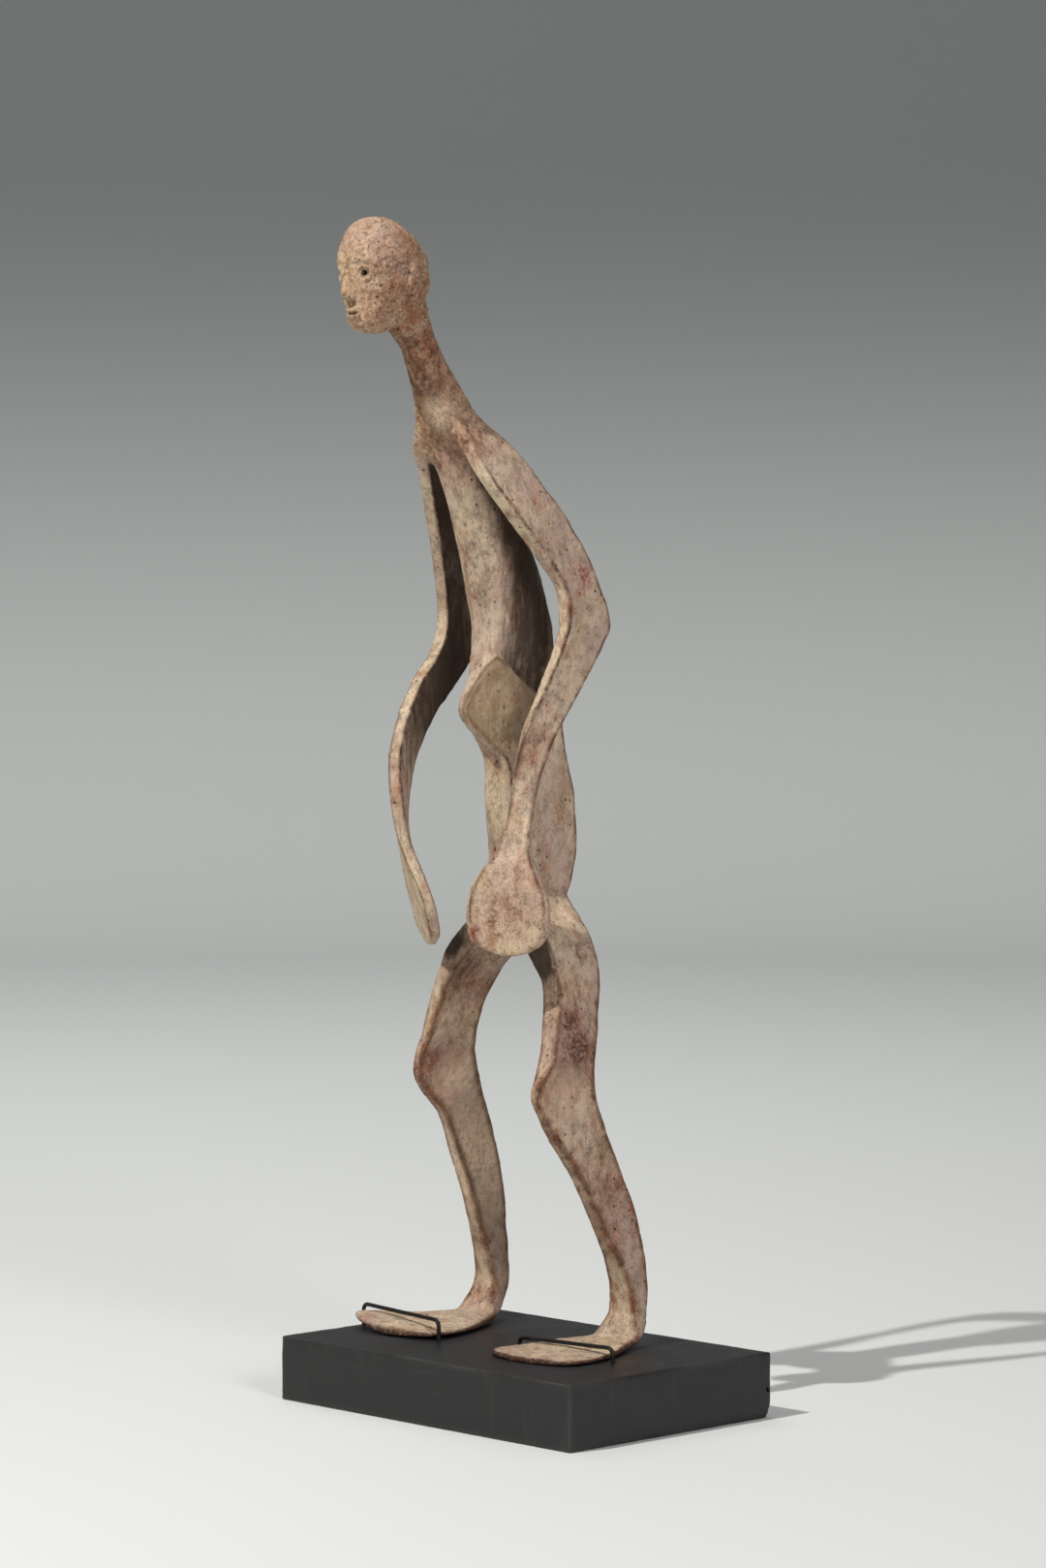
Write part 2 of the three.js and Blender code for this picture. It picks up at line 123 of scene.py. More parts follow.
TRUNK = rows(
    "z y depth front back square",
    (850, -113, 38, 30, 38, 2),
    (832, -107, 37, 30, 36, 2),
    (812, -93, 30, 28, 30, 2.1),
    (793, -82, 32, 32, 36, 2.2),
    (777, -74, 36, 38, 44, 2.2),
    (762, -67, 38, 48, 58, 2.3),
    (749, -61, 38, 56, 66, 2.4),
    (736, -55, 34, 52, 60, 2.6),
    (722, -47, 36, 42, 48, 2.6),
    (706, -39, 40, 40, 46, 2.5),
    (675, -22, 48, 48, 54, 2.5),
    (638, -8, 53, 52, 60, 2.6),
    (601, 1, 60, 50, 60, 2.7),
    (580, 1, 66, 40, 58, 3),
    (562, -2, 77, 16, 54, 4),
    (539, -6, 91, 8, 48, 5),
    (518, 5, 76, 12, 42, 5),
    (500, 16, 64, 27, 38, 5),
    (466, 22, 69, 33, 38, 5),
    (428, 25, 67, 34, 36, 5),
    (405, 24, 60, 32, 34, 4.5),
    (393, 23, 52, 33, 34, 4),
    (378, 20, 50, 40, 40, 4),
    (365, 18, 48, 46, 46, 4),
    (357, 17, 40, 36, 36, 3),
    (353, 17, 26, 20, 20, 3),
)
LEFT_ARM = rows(
    "z x y depth front back turn square",
    (790, 3, -80, 20, 12, 12, 0, 3),
    (768, 10, -70, 32, 20, 20, 0, 3),
    (752, 20, -60, 40, 22, 22, 0, 3),
    (739, 31, -54, 46, 18, 18, 0, 4),
    (726, 39, -48, 52, 16, 16, 0, 4),
    (710, 47, -41, 54, 16, 15, 0, 4),
    (691, 56, -30, 54, 15, 14, 0, 5),
    (676, 61, -21, 51, 15, 14, 0, 5),
    (656, 67, -9, 46, 14, 14, 0, 5),
    (632, 72, 3, 39, 12, 13, 0, 5),
    (617, 73, 8, 42, 12, 13, 0, 5),
    (604, 73, 9, 45, 12, 13, 0, 5),
    (592, 71, 6, 42, 12, 13, 3, 5),
    (579, 69, 1, 38, 12, 13, 6, 5),
    (547, 62, -12, 31, 11, 12, 16, 5),
    (517, 56, -25, 25, 10, 11, 30, 5),
    (485, 51, -31, 21, 10, 10, 48, 4),
    (460, 48, -33, 20, 10, 10, 57, 4),
    (445, 47, -36, 22, 10, 10, 60, 4),
    (432, 46, -39, 28, 9, 9, 62, 4),
    (418, 46, -43, 45, 9, 9, 62, 4),
    (403, 46, -45, 61, 9, 9, 62, 4),
    (388, 46, -45, 67, 9, 9, 62, 4),
    (374, 46, -45, 65, 8, 8, 62, 4),
    (363, 46, -44, 53, 8, 8, 62, 4),
    (357, 46, -44, 34, 7, 7, 62, 3),
    (354, 46, -44, 14, 5, 5, 62, 3),
)
RIGHT_ARM = rows(
    "z x y depth front back turn square",
    (790, 3, -80, 20, 12, 12, 0, 3),
    (768, 9, -70, 30, 20, 20, 0, 3),
    (752, 17, -62, 34, 20, 22, 0, 3),
    (738, 25, -54, 35, 17, 19, 0, 4),
    (719, 34, -40, 37, 14, 14, 0, 4),
    (690, 47, -18, 42, 13, 13, 0, 5),
    (655, 61, 3, 44, 13, 13, 0, 5),
    (632, 68, 13, 43, 13, 13, 0, 5),
    (608, 72, 19, 44, 13, 13, 0, 5),
    (599, 72, 17, 45, 13, 13, 2, 5),
    (590, 72, 14, 45, 13, 13, 3, 5),
    (576, 70, 1, 43, 12, 13, 5, 5),
    (562, 67, -15, 42, 12, 13, 6, 5),
    (549, 63, -28, 40, 11, 12, 8, 5),
    (537, 60, -40, 38, 11, 12, 12, 5),
    (518, 56, -54, 34, 10, 11, 18, 5),
    (500, 53, -63, 32, 10, 10, 24, 5),
    (475, 50, -68, 30, 10, 10, 34, 4),
    (455, 48, -69, 28, 10, 10, 42, 4),
    (438, 47, -66, 30, 10, 10, 48, 4),
    (422, 46, -61, 42, 10, 10, 54, 4),
    (405, 46, -54, 60, 10, 10, 57, 4),
    (388, 46, -48, 66, 9, 9, 58, 4),
    (376, 46, -44, 62, 9, 9, 58, 4),
    (366, 46, -41, 48, 8, 8, 58, 4),
    (361, 46, -40, 32, 7, 7, 58, 3),
    (358, 46, -39, 14, 5, 5, 58, 3),
)
FAN = rows(
    "out width thick",
    (0, 46, 10),
    (22, 68, 7.6),
    (46, 85, 6.2),
    (66, 93, 6),
    (78, 92, 5.8),
    (87, 81, 5.4),
    (93, 60, 5),
    (97, 26, 4),
)
LEFT_LEG = rows(
    "z x y depth front back tip square",
    (406, 3, 23, 44, 20, 20, 0, 4),
    (394, 8, 22, 48, 25, 26, 0, 4),
    (382, 16, 21, 50, 32, 33, 0, 4),
    (368, 28, 19, 52, 34, 35, 0, 4),
    (352, 40, 18, 52, 29, 29, 0, 4),
    (330, 51, 17, 47, 18, 19, 0, 5),
    (310, 55, 13, 45, 18, 18, 0, 5),
    (275, 61, 3, 46, 17, 18, 0, 5),
    (264, 63, -2, 51, 12, 18, 0, 5),
    (247, 66, -9, 61, 5, 19, 0, 5),
    (227, 67, -1, 58, 6, 18, 0, 5),
    (213, 68, 6, 53, 8, 18, 0, 5),
    (199, 69, 15, 48, 10, 17, 0, 5),
    (179, 71, 26, 44, 12, 16, 0, 5),
    (155, 73, 37, 41, 13, 16, 0, 5),
    (134, 75, 45, 37, 15, 17, 0, 4),
    (112, 76, 52, 28, 21, 20, 0, 4),
    (92, 76, 55, 20, 27, 26, 4, 4),
    (74, 76, 54, 15, 32, 32, 24, 4),
    (61, 76, 46, 13, 39, 39, 56, 4),
)
RIGHT_LEG = rows(
    "z x y depth front back tip square",
    (406, 3, 23, 44, 20, 20, 0, 4),
    (394, 8, 21, 48, 25, 26, 0, 4),
    (382, 16, 18, 52, 32, 33, 0, 4),
    (368, 27, 13, 58, 33, 34, 0, 4),
    (352, 38, 8, 60, 28, 29, 0, 4),
    (334, 47, 2, 57, 16, 20, 0, 4),
    (306, 57, -4, 49, 11, 17, 0, 5),
    (290, 62, -5, 49, 10, 17, 0, 5),
    (273, 68, -5, 54, 9, 18, 0, 5),
    (256, 73, -1, 61, 6, 19, 0, 5),
    (241, 77, 9, 56, 7, 18, 0, 5),
    (221, 81, 26, 45, 10, 17, 0, 5),
    (193, 86, 41, 42, 12, 16, 0, 5),
    (169, 90, 53, 38, 13, 16, 0, 5),
    (145, 92, 61, 33, 14, 16, 0, 5),
    (125, 94, 67, 29, 16, 17, 0, 4),
    (104, 95, 72, 25, 19, 18, 0, 4),
    (86, 96, 74, 20, 23, 22, 6, 4),
    (71, 96, 69, 15, 29, 29, 30, 4),
    (61, 94, 60, 13, 36, 36, 58, 4),
)


# A foot is a thin fan lying on the block: distance forward of the heel's bend, width and thickness
SOLE_TRIM = 0.6  # cut off under the feet, so that they stand flat
FAN_BEVEL = 3  # the top of a foot is this much narrower than its sole


def fan(x, heel, lift=0, turn=0, spread=1):
    """turn raises the outer edge of the toes, lift raises both edges and spread widens the whole fan."""
    stations = []
    for row in FAN:
        share = row["out"] / FAN[-1]["out"]
        width = row["width"] * spread
        inner = width / 2 * math.sin(math.radians(turn * share))
        stations.append(dict(
            x=x, y=heel - row["out"], z=SOLE - SOLE_TRIM + row["thick"] / 2 + inner + lift * share,
            depth=row["thick"], front=width - FAN_BEVEL, back=width, turn=turn * share, tip=90, square=3,
        ))
    return stations


def power(value, exponent):
    return np.sign(value) * np.abs(value) ** exponent


def limb(stations, side=1):
    """Vertices in metres and faces of one closed limb, and the points of its four corner lines.

    A row of the corner lines holds x, y, z and how crisp the corner is there.
    """
    full = [{**PLAIN, **s} for s in stations]
    table = {key: np.array([s[key] for s in full], float) for key in PLAIN}
    run = np.sqrt(sum(np.diff(table[key]) ** 2 for key in "xyz"))
    places = np.concatenate([[0], np.cumsum(run)])
    parts = [
        np.linspace(a, b, max(2, round((b - a) / RING_STEP) + 1))[:-1] for a, b in zip(places, places[1:])
    ]
    at = np.concatenate(parts + [places[-1:]])
    v = {key: curve(places, table[key], at)[:, None] for key in PLAIN}
    angle = 2 * np.pi * (np.arange(LIMB_SIDES)[None, :] + 0.5) / LIMB_SIDES
    square = v["square"] + CORNER_GAIN * np.maximum(0, v["square"] - 3)
    back = power(np.sin(angle), 2 / square)
    width = v["front"] + (v["back"] - v["front"]) * (back + 1) / 2
    across = power(np.cos(angle), 2 / square) * width / 2
    along = back * v["depth"] / 2
    turn, tip = np.radians(v["turn"]), np.radians(v["tip"])
    p = across * np.cos(turn) + along * np.sin(turn)
    q = along * np.cos(turn) - across * np.sin(turn)
    x = MIDLINE + side * (v["x"] + p)
    y = v["y"] + q * np.cos(tip)
    z = v["z"] - q * np.sin(tip)
    rings = np.stack([x, y, z], axis=2)
    vertices = np.concatenate([rings.reshape(-1, 3), rings[0].mean(0)[None], rings[-1].mean(0)[None]]) * MM
    count, top = len(rings), len(rings) * LIMB_SIDES
    faces = []
    for r in range(count - 1):
        for s in range(LIMB_SIDES):
            a, b = r * LIMB_SIDES + s, r * LIMB_SIDES + (s + 1) % LIMB_SIDES
            faces.append((a, a + LIMB_SIDES, b + LIMB_SIDES, b))
    for s in range(LIMB_SIDES):
        nxt = (s + 1) % LIMB_SIDES
        faces.append((top, s, nxt))
        faces.append((top + 1, (count - 1) * LIMB_SIDES + nxt, (count - 1) * LIMB_SIDES + s))
    if side < 0:
        faces = [f[::-1] for f in faces]
    corner = LIMB_SIDES // 8
    lines = (rings[:, corner - 1::2 * corner] + rings[:, corner::2 * corner]) / 2
    crisp = np.repeat(smooth(3.2, 4.4, v["square"])[:, :, None], 4, axis=1)
    lines = np.concatenate([lines, crisp], axis=2)
    at, every = np.arange(count), np.arange(0, count - 1, 1 / 3)
    lines = [np.interp(every, at, lines[:, k, i]) for k in range(4) for i in range(4)]
    return vertices, faces, np.array(lines).reshape(4, 4, -1).transpose(0, 2, 1).reshape(-1, 4)


# Meshes, worked on in millimetres
def new_object(name, vertices, faces):
    mesh = bpy.data.meshes.new(name)
    mesh.from_pydata([tuple(v) for v in vertices], [], [tuple(f) for f in faces])
    mesh.update()
    obj = bpy.data.objects.new(name, mesh)
    bpy.context.scene.collection.objects.link(obj)
    return obj


def apply(obj):
    """Makes what the object's modifiers show its own mesh."""
    graph = bpy.context.evaluated_depsgraph_get()
    mesh = bpy.data.meshes.new_from_object(obj.evaluated_get(graph))
    obj.modifiers.clear()
    obj.data = mesh


def shade_smooth(mesh):
    for polygon in mesh.polygons:
        polygon.use_smooth = True


def points(mesh):
    co = np.empty(len(mesh.vertices) * 3, np.float32)
    mesh.vertices.foreach_get("co", co)
    return co.reshape(-1, 3).astype(float) / MM


def normals(mesh):
    out = np.empty(len(mesh.vertices) * 3, np.float32)
    mesh.vertex_normals.foreach_get("vector", out)
    return out.reshape(-1, 3).astype(float)


def edges(mesh):
    out = np.empty(len(mesh.edges) * 2, np.int32)
    mesh.edges.foreach_get("vertices", out)
    return out.reshape(-1, 2)


def place(mesh, co):
    mesh.vertices.foreach_set("co", (co * MM).astype(np.float32).ravel())
    mesh.update()


def relax(co, links, rounds, weight=1.0, firm=True):
    """Evens out the surface. firm gives back what plain smoothing would shrink; weight limits the region."""
    a, b = links.T
    n = len(co)
    count = (np.bincount(a, minlength=n) + np.bincount(b, minlength=n))[:, None]
    weight = np.reshape(weight, (-1, 1))
    for gain in [0.5, -0.53] * rounds if firm else [0.5] * rounds:
        total = np.stack(
            [np.bincount(a, co[b, i], n) + np.bincount(b, co[a, i], n) for i in range(3)], axis=1
        )
        co = co + gain * weight * (total / count - co)
    return co


def near(co, centre, radius):
    """1 at the centre, falling softly to 0 at the radius, which may differ in x, y and z."""
    return 1 - smooth(0, 1, np.sqrt((((co - centre) / radius) ** 2).sum(1)))


def off_line(co, line):
    """Distance of each point from a line through these places, and how far along it is, from 0 to 1."""
    line = np.array(line, float)
    best, share = np.full(len(co), 1e9), np.zeros(len(co))
    lengths = np.linalg.norm(np.diff(line, axis=0), axis=1)
    starts = np.concatenate([[0], np.cumsum(lengths)])
    for i, length in enumerate(lengths):
        run = line[i + 1] - line[i]
        t = np.clip((co - line[i]) @ run / length**2, 0, 1)
        d = np.linalg.norm(co - line[i] - t[:, None] * run, axis=1)
        closer = d < best
        best[closer] = d[closer]
        share[closer] = (starts[i] + t[closer] * length) / starts[-1]
    return best, share


def ripple(co, size, seed, stretch=(1, 1, 1)):
    """Soft noise from about -0.5 to 0.5 with bumps of about this size."""
    at = co / (np.array(stretch) * size) + seed * 17.3
    return np.array([noise.noise(p) for p in at.tolist()])


def plates(co, size, seed):
    """1 on the walls between crooked cells of about this size, 0 inside them."""
    at = [Vector(p) for p in (co / size + seed * 17.3).tolist()]
    found = [noise.voronoi(p + 0.35 * noise.noise_vector(1.3 * p))[0] for p in at]
    return 1 - smooth(0.02, 0.2, np.array([d[1] - d[0] for d in found]))


# Figure
def carve():
    """The whole figure as one skin, closed over by a voxel remesh, and the corner lines of its limbs."""
    vertices, faces, lines, start = [], [], [], 0
    for stations, side in (
        (HEAD, 1), (NOSE, 1), (EAR, 1), (EAR, -1), (TRUNK, 1), (LEFT_ARM, 1), (RIGHT_ARM, -1),
        (LEFT_LEG + fan(x=76, heel=34), 1), (RIGHT_LEG + fan(x=91, heel=46, lift=1, turn=6, spread=1.04), -1),
    ):
        v, f, corners = limb(stations, side)
        vertices.append(v)
        faces += [tuple(i + start for i in face) for face in f]
        lines.append(corners)
        start += len(v)
    obj = new_object("carved_figure", np.concatenate(vertices), faces)
    skin = obj.modifiers.new("skin", "REMESH")
    skin.mode = "VOXEL"
    skin.voxel_size = VOXEL * MM
    apply(obj)
    return obj, np.concatenate(lines)


def refine(mesh, centre, radius):
    """Halves the faces within the radius of the centre."""
    work = bmesh.new()
    work.from_mesh(mesh)
    middle = Vector(centre) * MM
    near_edges = [e for e in work.edges if all((v.co - middle).length < radius * MM for v in e.verts)]
    bmesh.ops.subdivide_edges(work, edges=near_edges, cuts=1, use_grid_fill=True)
    work.to_mesh(mesh)
    work.free()
    mesh.update()


def crease(co, line, width, height, ends=0.15):
    """A ridge, or a groove where height is below 0, along a line, fading out towards both ends."""
    gap, share = off_line(co, line)
    fade = smooth(0, ends, share) * smooth(0, ends, 1 - share) if ends else 1
    return height * fade * (1 - smooth(0, width, gap))


def tree_of(co):
    tree = kdtree.KDTree(len(co))
    for i, p in enumerate(co.tolist()):
        tree.insert(p, i)
    tree.balance()
    return tree


def open_lines(obj, lines):
    """The corner lines that lie on the skin and not inside the wood."""
    tree = BVHTree.FromObject(obj, bpy.context.evaluated_depsgraph_get())
    gap = np.array([tree.find_nearest(p)[3] for p in (lines[:, :3] * MM).tolist()]) / MM
    return lines[(gap < 2.4) & (lines[:, 3] > 0.02) & (lines[:, 2] > SOLE - 1)]


def arris(co, lines, width):
    """1 on a corner line, 0 at this distance from it."""
    tree = tree_of(lines[:, :3])
    found = [tree.find(p) for p in co.tolist()]
    gap = np.array([f[2] for f in found])
    return lines[[f[1] for f in found], 3] * np.maximum(0, 1 - gap / width)


def crust_of(co):
    """Where the pale coat is thick and granular: head, neck, shoulders and the near hand."""
    return np.maximum.reduce([
        near(co, np.array((-16, -120, 850)), (90, 90, 110)),
        near(co, np.array((-16, -70, 765)), (70, 60, 50)),
        near(co, np.array((30, -44, 385)), (50, 50, 55)) * 0.4,
    ])


def splits_of(co, crust):
    """Where the crust has split into plates."""
    out = np.zeros(len(co))
    thick = crust > 0.04
    out[thick] = plates(co[thick], 9, 6)
    patchy = smooth(-0.1, 0.22, ripple(co, 15, 8)) * (1 - 0.75 * near(co, np.array((MIDLINE, -152, 850)), 40))
    return out * patchy * smooth(0.04, 0.4, crust)


def front(x, z):
    """The place on the front of the figure at this x and z."""
    tree = BVHTree.FromObject(figure, bpy.context.evaluated_depsgraph_get())
    return np.array(tree.ray_cast(Vector((x, -260, z)) * MM, (0, 1, 0))[0]) / MM


figure, corner_lines = carve()
EYES = [front(MIDLINE + s * EYE_OUT, EYE_HEIGHT) for s in (-1, 1)]
MOUTH = [front(MIDLINE + x, z) for x, z in ((-8, 837), (-4, 836), (0, 835.6), (4, 836), (8, 837))]
NOSTRILS = [front(MIDLINE + s * 3.4, 846.5) for s in (-1, 1)]
BROWS = [
    [front(MIDLINE + s * x, z) for x, z in ((3.5, 872), (9, 875.5), (16, 875), (22, 870))] for s in (-1, 1)
]
refine(figure.data, (MIDLINE, -152, 856), 38)
for eye in EYES:
    refine(figure.data, eye, 9)
mesh = figure.data
co = points(mesh)
links = edges(mesh)
co = relax(co, links, 3)

# Softer where the limbs grow out of the body
for centre, radius, rounds in (
    ((-16, -66, 752), 42, 26), ((-16, -108, 828), 34, 20), ((-16, 20, 375), 46, 30), ((14, -48, 722), 26, 20),
    ((-50, -48, 722), 26, 20), ((60, 48, 70), 30, 14), ((-110, 62, 70), 30, 14),
):
    co = relax(co, links, rounds, near(co, np.array(centre), radius), firm=False)
place(mesh, co)
side = normals(mesh)
corner_lines = open_lines(figure, corner_lines)
corner_lines[:, 3] *= 1 - smooth(712, 745, corner_lines[:, 2])  # the shoulders are rounder

# Crisp arrises, as the knife left them
depth = 0.8 * arris(co, corner_lines, 3.0) ** 1.5

# Cracks, a knob on the loins and a nick in the hand
HIP_CRACK = [(31, 25, 365), (36, 23, 357), (38, 22.5, 352), (41, 25, 344)]
KNEE_CRACK = [(-78.9, 0, 266.8), (-78.5, 8, 266), (-78.3, 16, 265.6)]
for line, width, height in ((HIP_CRACK, 2.2, -1.8), (KNEE_CRACK, 2.0, -1.3)):
    depth += crease(co, line, width, height, 0.3)
depth += 2.4 * near(co, np.array((5, 58, 444)), 5) - 2.2 * near(co, np.array((10, -59, 373)), 4.5)

# The flat side of the belly lies a little lower than the chest above it and stands proud of the waist
BELLY_Y = (-48, -42, -37, -31, -27, -21, -6, 9, 20)
BELLY_Z = (550, 560, 568, 576, 579, 574, 563, 552, 545)
below = np.interp(co[:, 1], BELLY_Y, BELLY_Z) - co[:, 2]
beside = (co[:, 2] > 470) & (co[:, 2] < 660) & (np.abs(co[:, 0] - MIDLINE) < 34)
flank = smooth(0.35, 0.75, np.abs(side[:, 0])) * beside
ahead = 1 - smooth(-34, -16, co[:, 1])
depth -= 1.6 * flank * ahead * smooth(-1, 2.5, below) * (1 - smooth(20, 62, below))
depth += 0.8 * flank * ahead * np.exp(-(((below + 1.4) / 1.8) ** 2))
depth -= 2.4 * flank * (1 - ahead) * smooth(-1, 4, -below) * (1 - smooth(8, 50, -below))

# Face, of a plain general kind: drilled eyes in round sockets, brows, nostrils and a short mouth
for eye in EYES:
    gap = np.linalg.norm(co - eye, axis=1)
    socket_rim = 1.1 * np.exp(-(((gap - 5.2) / 1.5) ** 2))
    depth += socket_rim - 1.0 * (1 - smooth(3.0, 4.8, gap)) - 4.0 * (1 - smooth(1.5, 2.5, gap))
for brow in BROWS:
    depth += crease(co, brow, 3.2, 1.3, 0.35)
for nostril in NOSTRILS:
    depth -= 1.8 * (1 - smooth(0.6, 1.9, np.linalg.norm(co - nostril, axis=1)))
gap, share = off_line(co, MOUTH)
ends = smooth(0, 0.3, share) * smooth(0, 0.3, 1 - share)
depth += (2.2 * (1 - smooth(2, 6, gap)) - 3.0 * (1 - smooth(0.3, 1.6, gap))) * ends
for s in (-1, 1):
    depth -= 1.4 * near(co, np.array((MIDLINE + s * 34, -125, 864)), (4, 4, 6))

# Knife work, grain and the uneven crust
crust = crust_of(co)
depth += (
    0.8 * ripple(co, 26, 1, (1, 1, 1.6))
    + np.where(co[:, 2] < SOLE + 14, 0.2, 0.5) * ripple(co, 8, 2, (1, 1, 1.8))
    + 0.25 * ripple(co, 2.6, 3, (1, 1, 9))
    + (0.15 + 0.8 * crust) * ripple(co, 4.2, 4) + 0.5 * crust * ripple(co, 2.3, 5)
)
depth -= 0.6 * splits_of(co, crust)

# Pits and small chips
pits = tree_of(co)
for i in rng.choice(len(co), PITS, replace=False):
    radius, drop = rng.uniform(1.2, 3.0), rng.uniform(0.3, 0.9)
    for _, j, gap in pits.find_range(co[i].tolist(), radius):
        depth[j] -= drop * (1 - (gap / radius) ** 2) ** 2
co = co + side * depth[:, None]
co[:, 2] = np.maximum(co[:, 2], SOLE)
place(mesh, co)

# Fewer faces where the surface is plain
thin = figure.modifiers.new("thin", "DECIMATE")
thin.ratio = min(1, FACES / sum(len(p.vertices) - 2 for p in mesh.polygons))
apply(figure)
mesh = figure.data
co = points(mesh)
co[:, 2] = np.maximum(co[:, 2], SOLE)
place(mesh, co)
shade_smooth(mesh)


def shelter(obj, reach=95, rays=20, every=4):
    """How far each point is closed in by the rest of the piece, from 0 in the open to about 1 in a corner."""
    mesh = obj.data
    co, side = points(mesh), normals(mesh)
    tree = BVHTree.FromObject(obj, bpy.context.evaluated_depsgraph_get())
    spiral = np.arange(rays) + 0.5
    lean, swing = np.arccos(np.sqrt(1 - spiral / rays)), spiral * np.pi * (3 - np.sqrt(5))
    dome = np.stack([np.sin(lean) * np.cos(swing), np.sin(lean) * np.sin(swing), np.cos(lean)], axis=1)
    some = np.arange(0, len(co), every)
    found = kdtree.KDTree(len(some))
    values = np.zeros(len(some))
    for n, i in enumerate(some):
        up = side[i]
        east = np.cross(up, (0, 0, 1) if abs(up[2]) < 0.9 else (1, 0, 0))
        east /= np.linalg.norm(east)
        ways = dome @ np.stack([east, np.cross(up, east), up])
        start = Vector((co[i] + up) * MM)
        for way in ways.tolist():
            gap = tree.ray_cast(start, way, reach * MM)[3]
            if gap is not None:
                values[n] += 1 - 0.6 * gap / (reach * MM)
        found.insert(co[i], n)
    found.balance()
    whole = np.array([values[found.find(p)[1]] for p in co.tolist()]) / rays
    return soften(whole, edges(mesh), 8)


def soften(values, links, rounds):
    """Evens out a number held at each point."""
    a, b = links.T
    n = len(values)
    count = np.bincount(a, minlength=n) + np.bincount(b, minlength=n)
    for _ in range(rounds):
        values = (values + (np.bincount(a, values[b], n) + np.bincount(b, values[a], n)) / count) / 2
    return values


# Block: a board with worn edges, one chipped corner and the four holes for the wires
STAPLES = {  # the place of the inner and outer legs on the block, and the height of the wire over each
    "left": ((7, -11, 57.2), (112, -15, 61.2)),
    "right": ((-55, -38, 66), (-157, -24, 66.5)),
}
WIRE, BEND, ROOT = 1.6, 5, 14  # radius of the wire, radius of its corners and its length in the block
HOLE, HOLE_SPARE = 2.0, 0.3  # radius of a hole and how much deeper it is than the wire goes
CELL = 5  # size of the board's faces
CHIPPED = (BLOCK[0] / 2, BLOCK[1] / 2, 0)  # the corner that is chipped


def board():
    width, depth, height = BLOCK
    work = bmesh.new()
    bmesh.ops.create_cube(work, size=1)
    bmesh.ops.scale(work, vec=Vector(BLOCK), verts=work.verts)
    bmesh.ops.translate(work, vec=(0, 0, height / 2), verts=work.verts)
    for axis in range(3):
        along = [e for e in work.edges if abs((e.verts[0].co - e.verts[1].co)[axis]) > CELL]
        bmesh.ops.subdivide_edges(work, edges=along, cuts=int(BLOCK[axis] / CELL) - 1, use_grid_fill=True)
    sharp = [e for e in work.edges if len(e.link_faces) == 2 and e.calc_face_angle() > 1]
    bmesh.ops.bevel(work, geom=sharp, offset=1.3, segments=4, profile=0.5, affect="EDGES", clamp_overlap=True)
    bmesh.ops.recalc_face_normals(work, faces=work.faces)
    bmesh.ops.scale(work, vec=(MM, MM, MM), verts=work.verts)
    mesh = bpy.data.meshes.new("board")
    work.to_mesh(mesh)
    work.free()
    obj = bpy.data.objects.new("black_board", mesh)
    bpy.context.scene.collection.objects.link(obj)
    refine(mesh, CHIPPED, 22)
    co = points(mesh)
    half = np.array(BLOCK) / 2
    inside = half - np.abs(co - (0, 0, half[2]))
    edge = np.sort(inside, axis=1)[:, 1]  # distance from the nearest edge of the board
    patchy = 0.35 + 0.9 * np.maximum(0, ripple(co, 14, 31)) + 0.5 * ripple(co, 4, 32)
    worn = (1 - smooth(0, 4, edge)) * patchy
    middle = co - (0, 0, half[2])
    co -= np.sign(middle) * (inside < 4) * (0.35 * np.clip(worn, 0, 1))[:, None]
    co += np.sign(middle) * (inside < 0.01) * np.minimum(0, 0.25 * ripple(co, 60, 33) - 0.05)[:, None]
    cut = np.array((0.62, 0.62, -0.48))
    over = (co - CHIPPED) @ cut + 4.5 + 2.2 * ripple(co, 5, 34)
    co -= cut * np.maximum(0, over)[:, None]
    co[:, 2] = np.clip(co[:, 2], 0, height)
    place(mesh, co)
    mesh.attributes.new("rim", "FLOAT", "POINT").data.foreach_set(
        "value", (1 - smooth(0.4, 2.6, edge)).astype(np.float32)
    )
    for i, spot in enumerate(leg for pair in STAPLES.values() for leg in pair):
        floor, mouth = (*spot[:2], height - ROOT - HOLE_SPARE), (*spot[:2], height + 2)
        drill = tube(f"drill_{i}", [floor, mouth], HOLE, 20)
        hole = obj.modifiers.new("hole", "BOOLEAN")
        hole.operation, hole.solver, hole.object = "DIFFERENCE", "EXACT", drill
        apply(obj)
        bpy.data.objects.remove(drill)
    shade_smooth(obj.data)
    obj.data.set_sharp_from_angle(angle=math.radians(40))
    return obj


def tube(name, path, radius, sides, flat=(1, 0, 0)):
    """A round bar along a path that stays in one plane; flat is that plane's normal."""
    path, flat = np.array(path, float), np.array(flat, float)
    run = np.gradient(path, axis=0)
    run /= np.linalg.norm(run, axis=1)[:, None]
    up = np.cross(flat, run)
    angle = 2 * np.pi * np.arange(sides) / sides
    radius = np.broadcast_to(radius, len(path))[:, None, None]
    rings = path[:, None] + radius * (
        np.cos(angle)[None, :, None] * flat[None, None] + np.sin(angle)[None, :, None] * up[:, None]
    )
    vertices = np.concatenate([rings.reshape(-1, 3), path[:1], path[-1:]]) * MM
    first, last = len(vertices) - 2, len(vertices) - 1
    faces = []
    for r in range(len(path) - 1):
        for s in range(sides):
            a, b = r * sides + s, r * sides + (s + 1) % sides
            faces.append((a, b, b + sides, a + sides))
    end = (len(path) - 1) * sides
    for s in range(sides):
        nxt = (s + 1) % sides
        faces += [(first, nxt, s), (last, end + s, end + nxt)]
    obj = new_object(name, vertices, faces)
    work = bmesh.new()
    work.from_mesh(obj.data)
    bmesh.ops.recalc_face_normals(work, faces=work.faces)
    work.to_mesh(obj.data)
    work.free()
    shade_smooth(obj.data)
    return obj


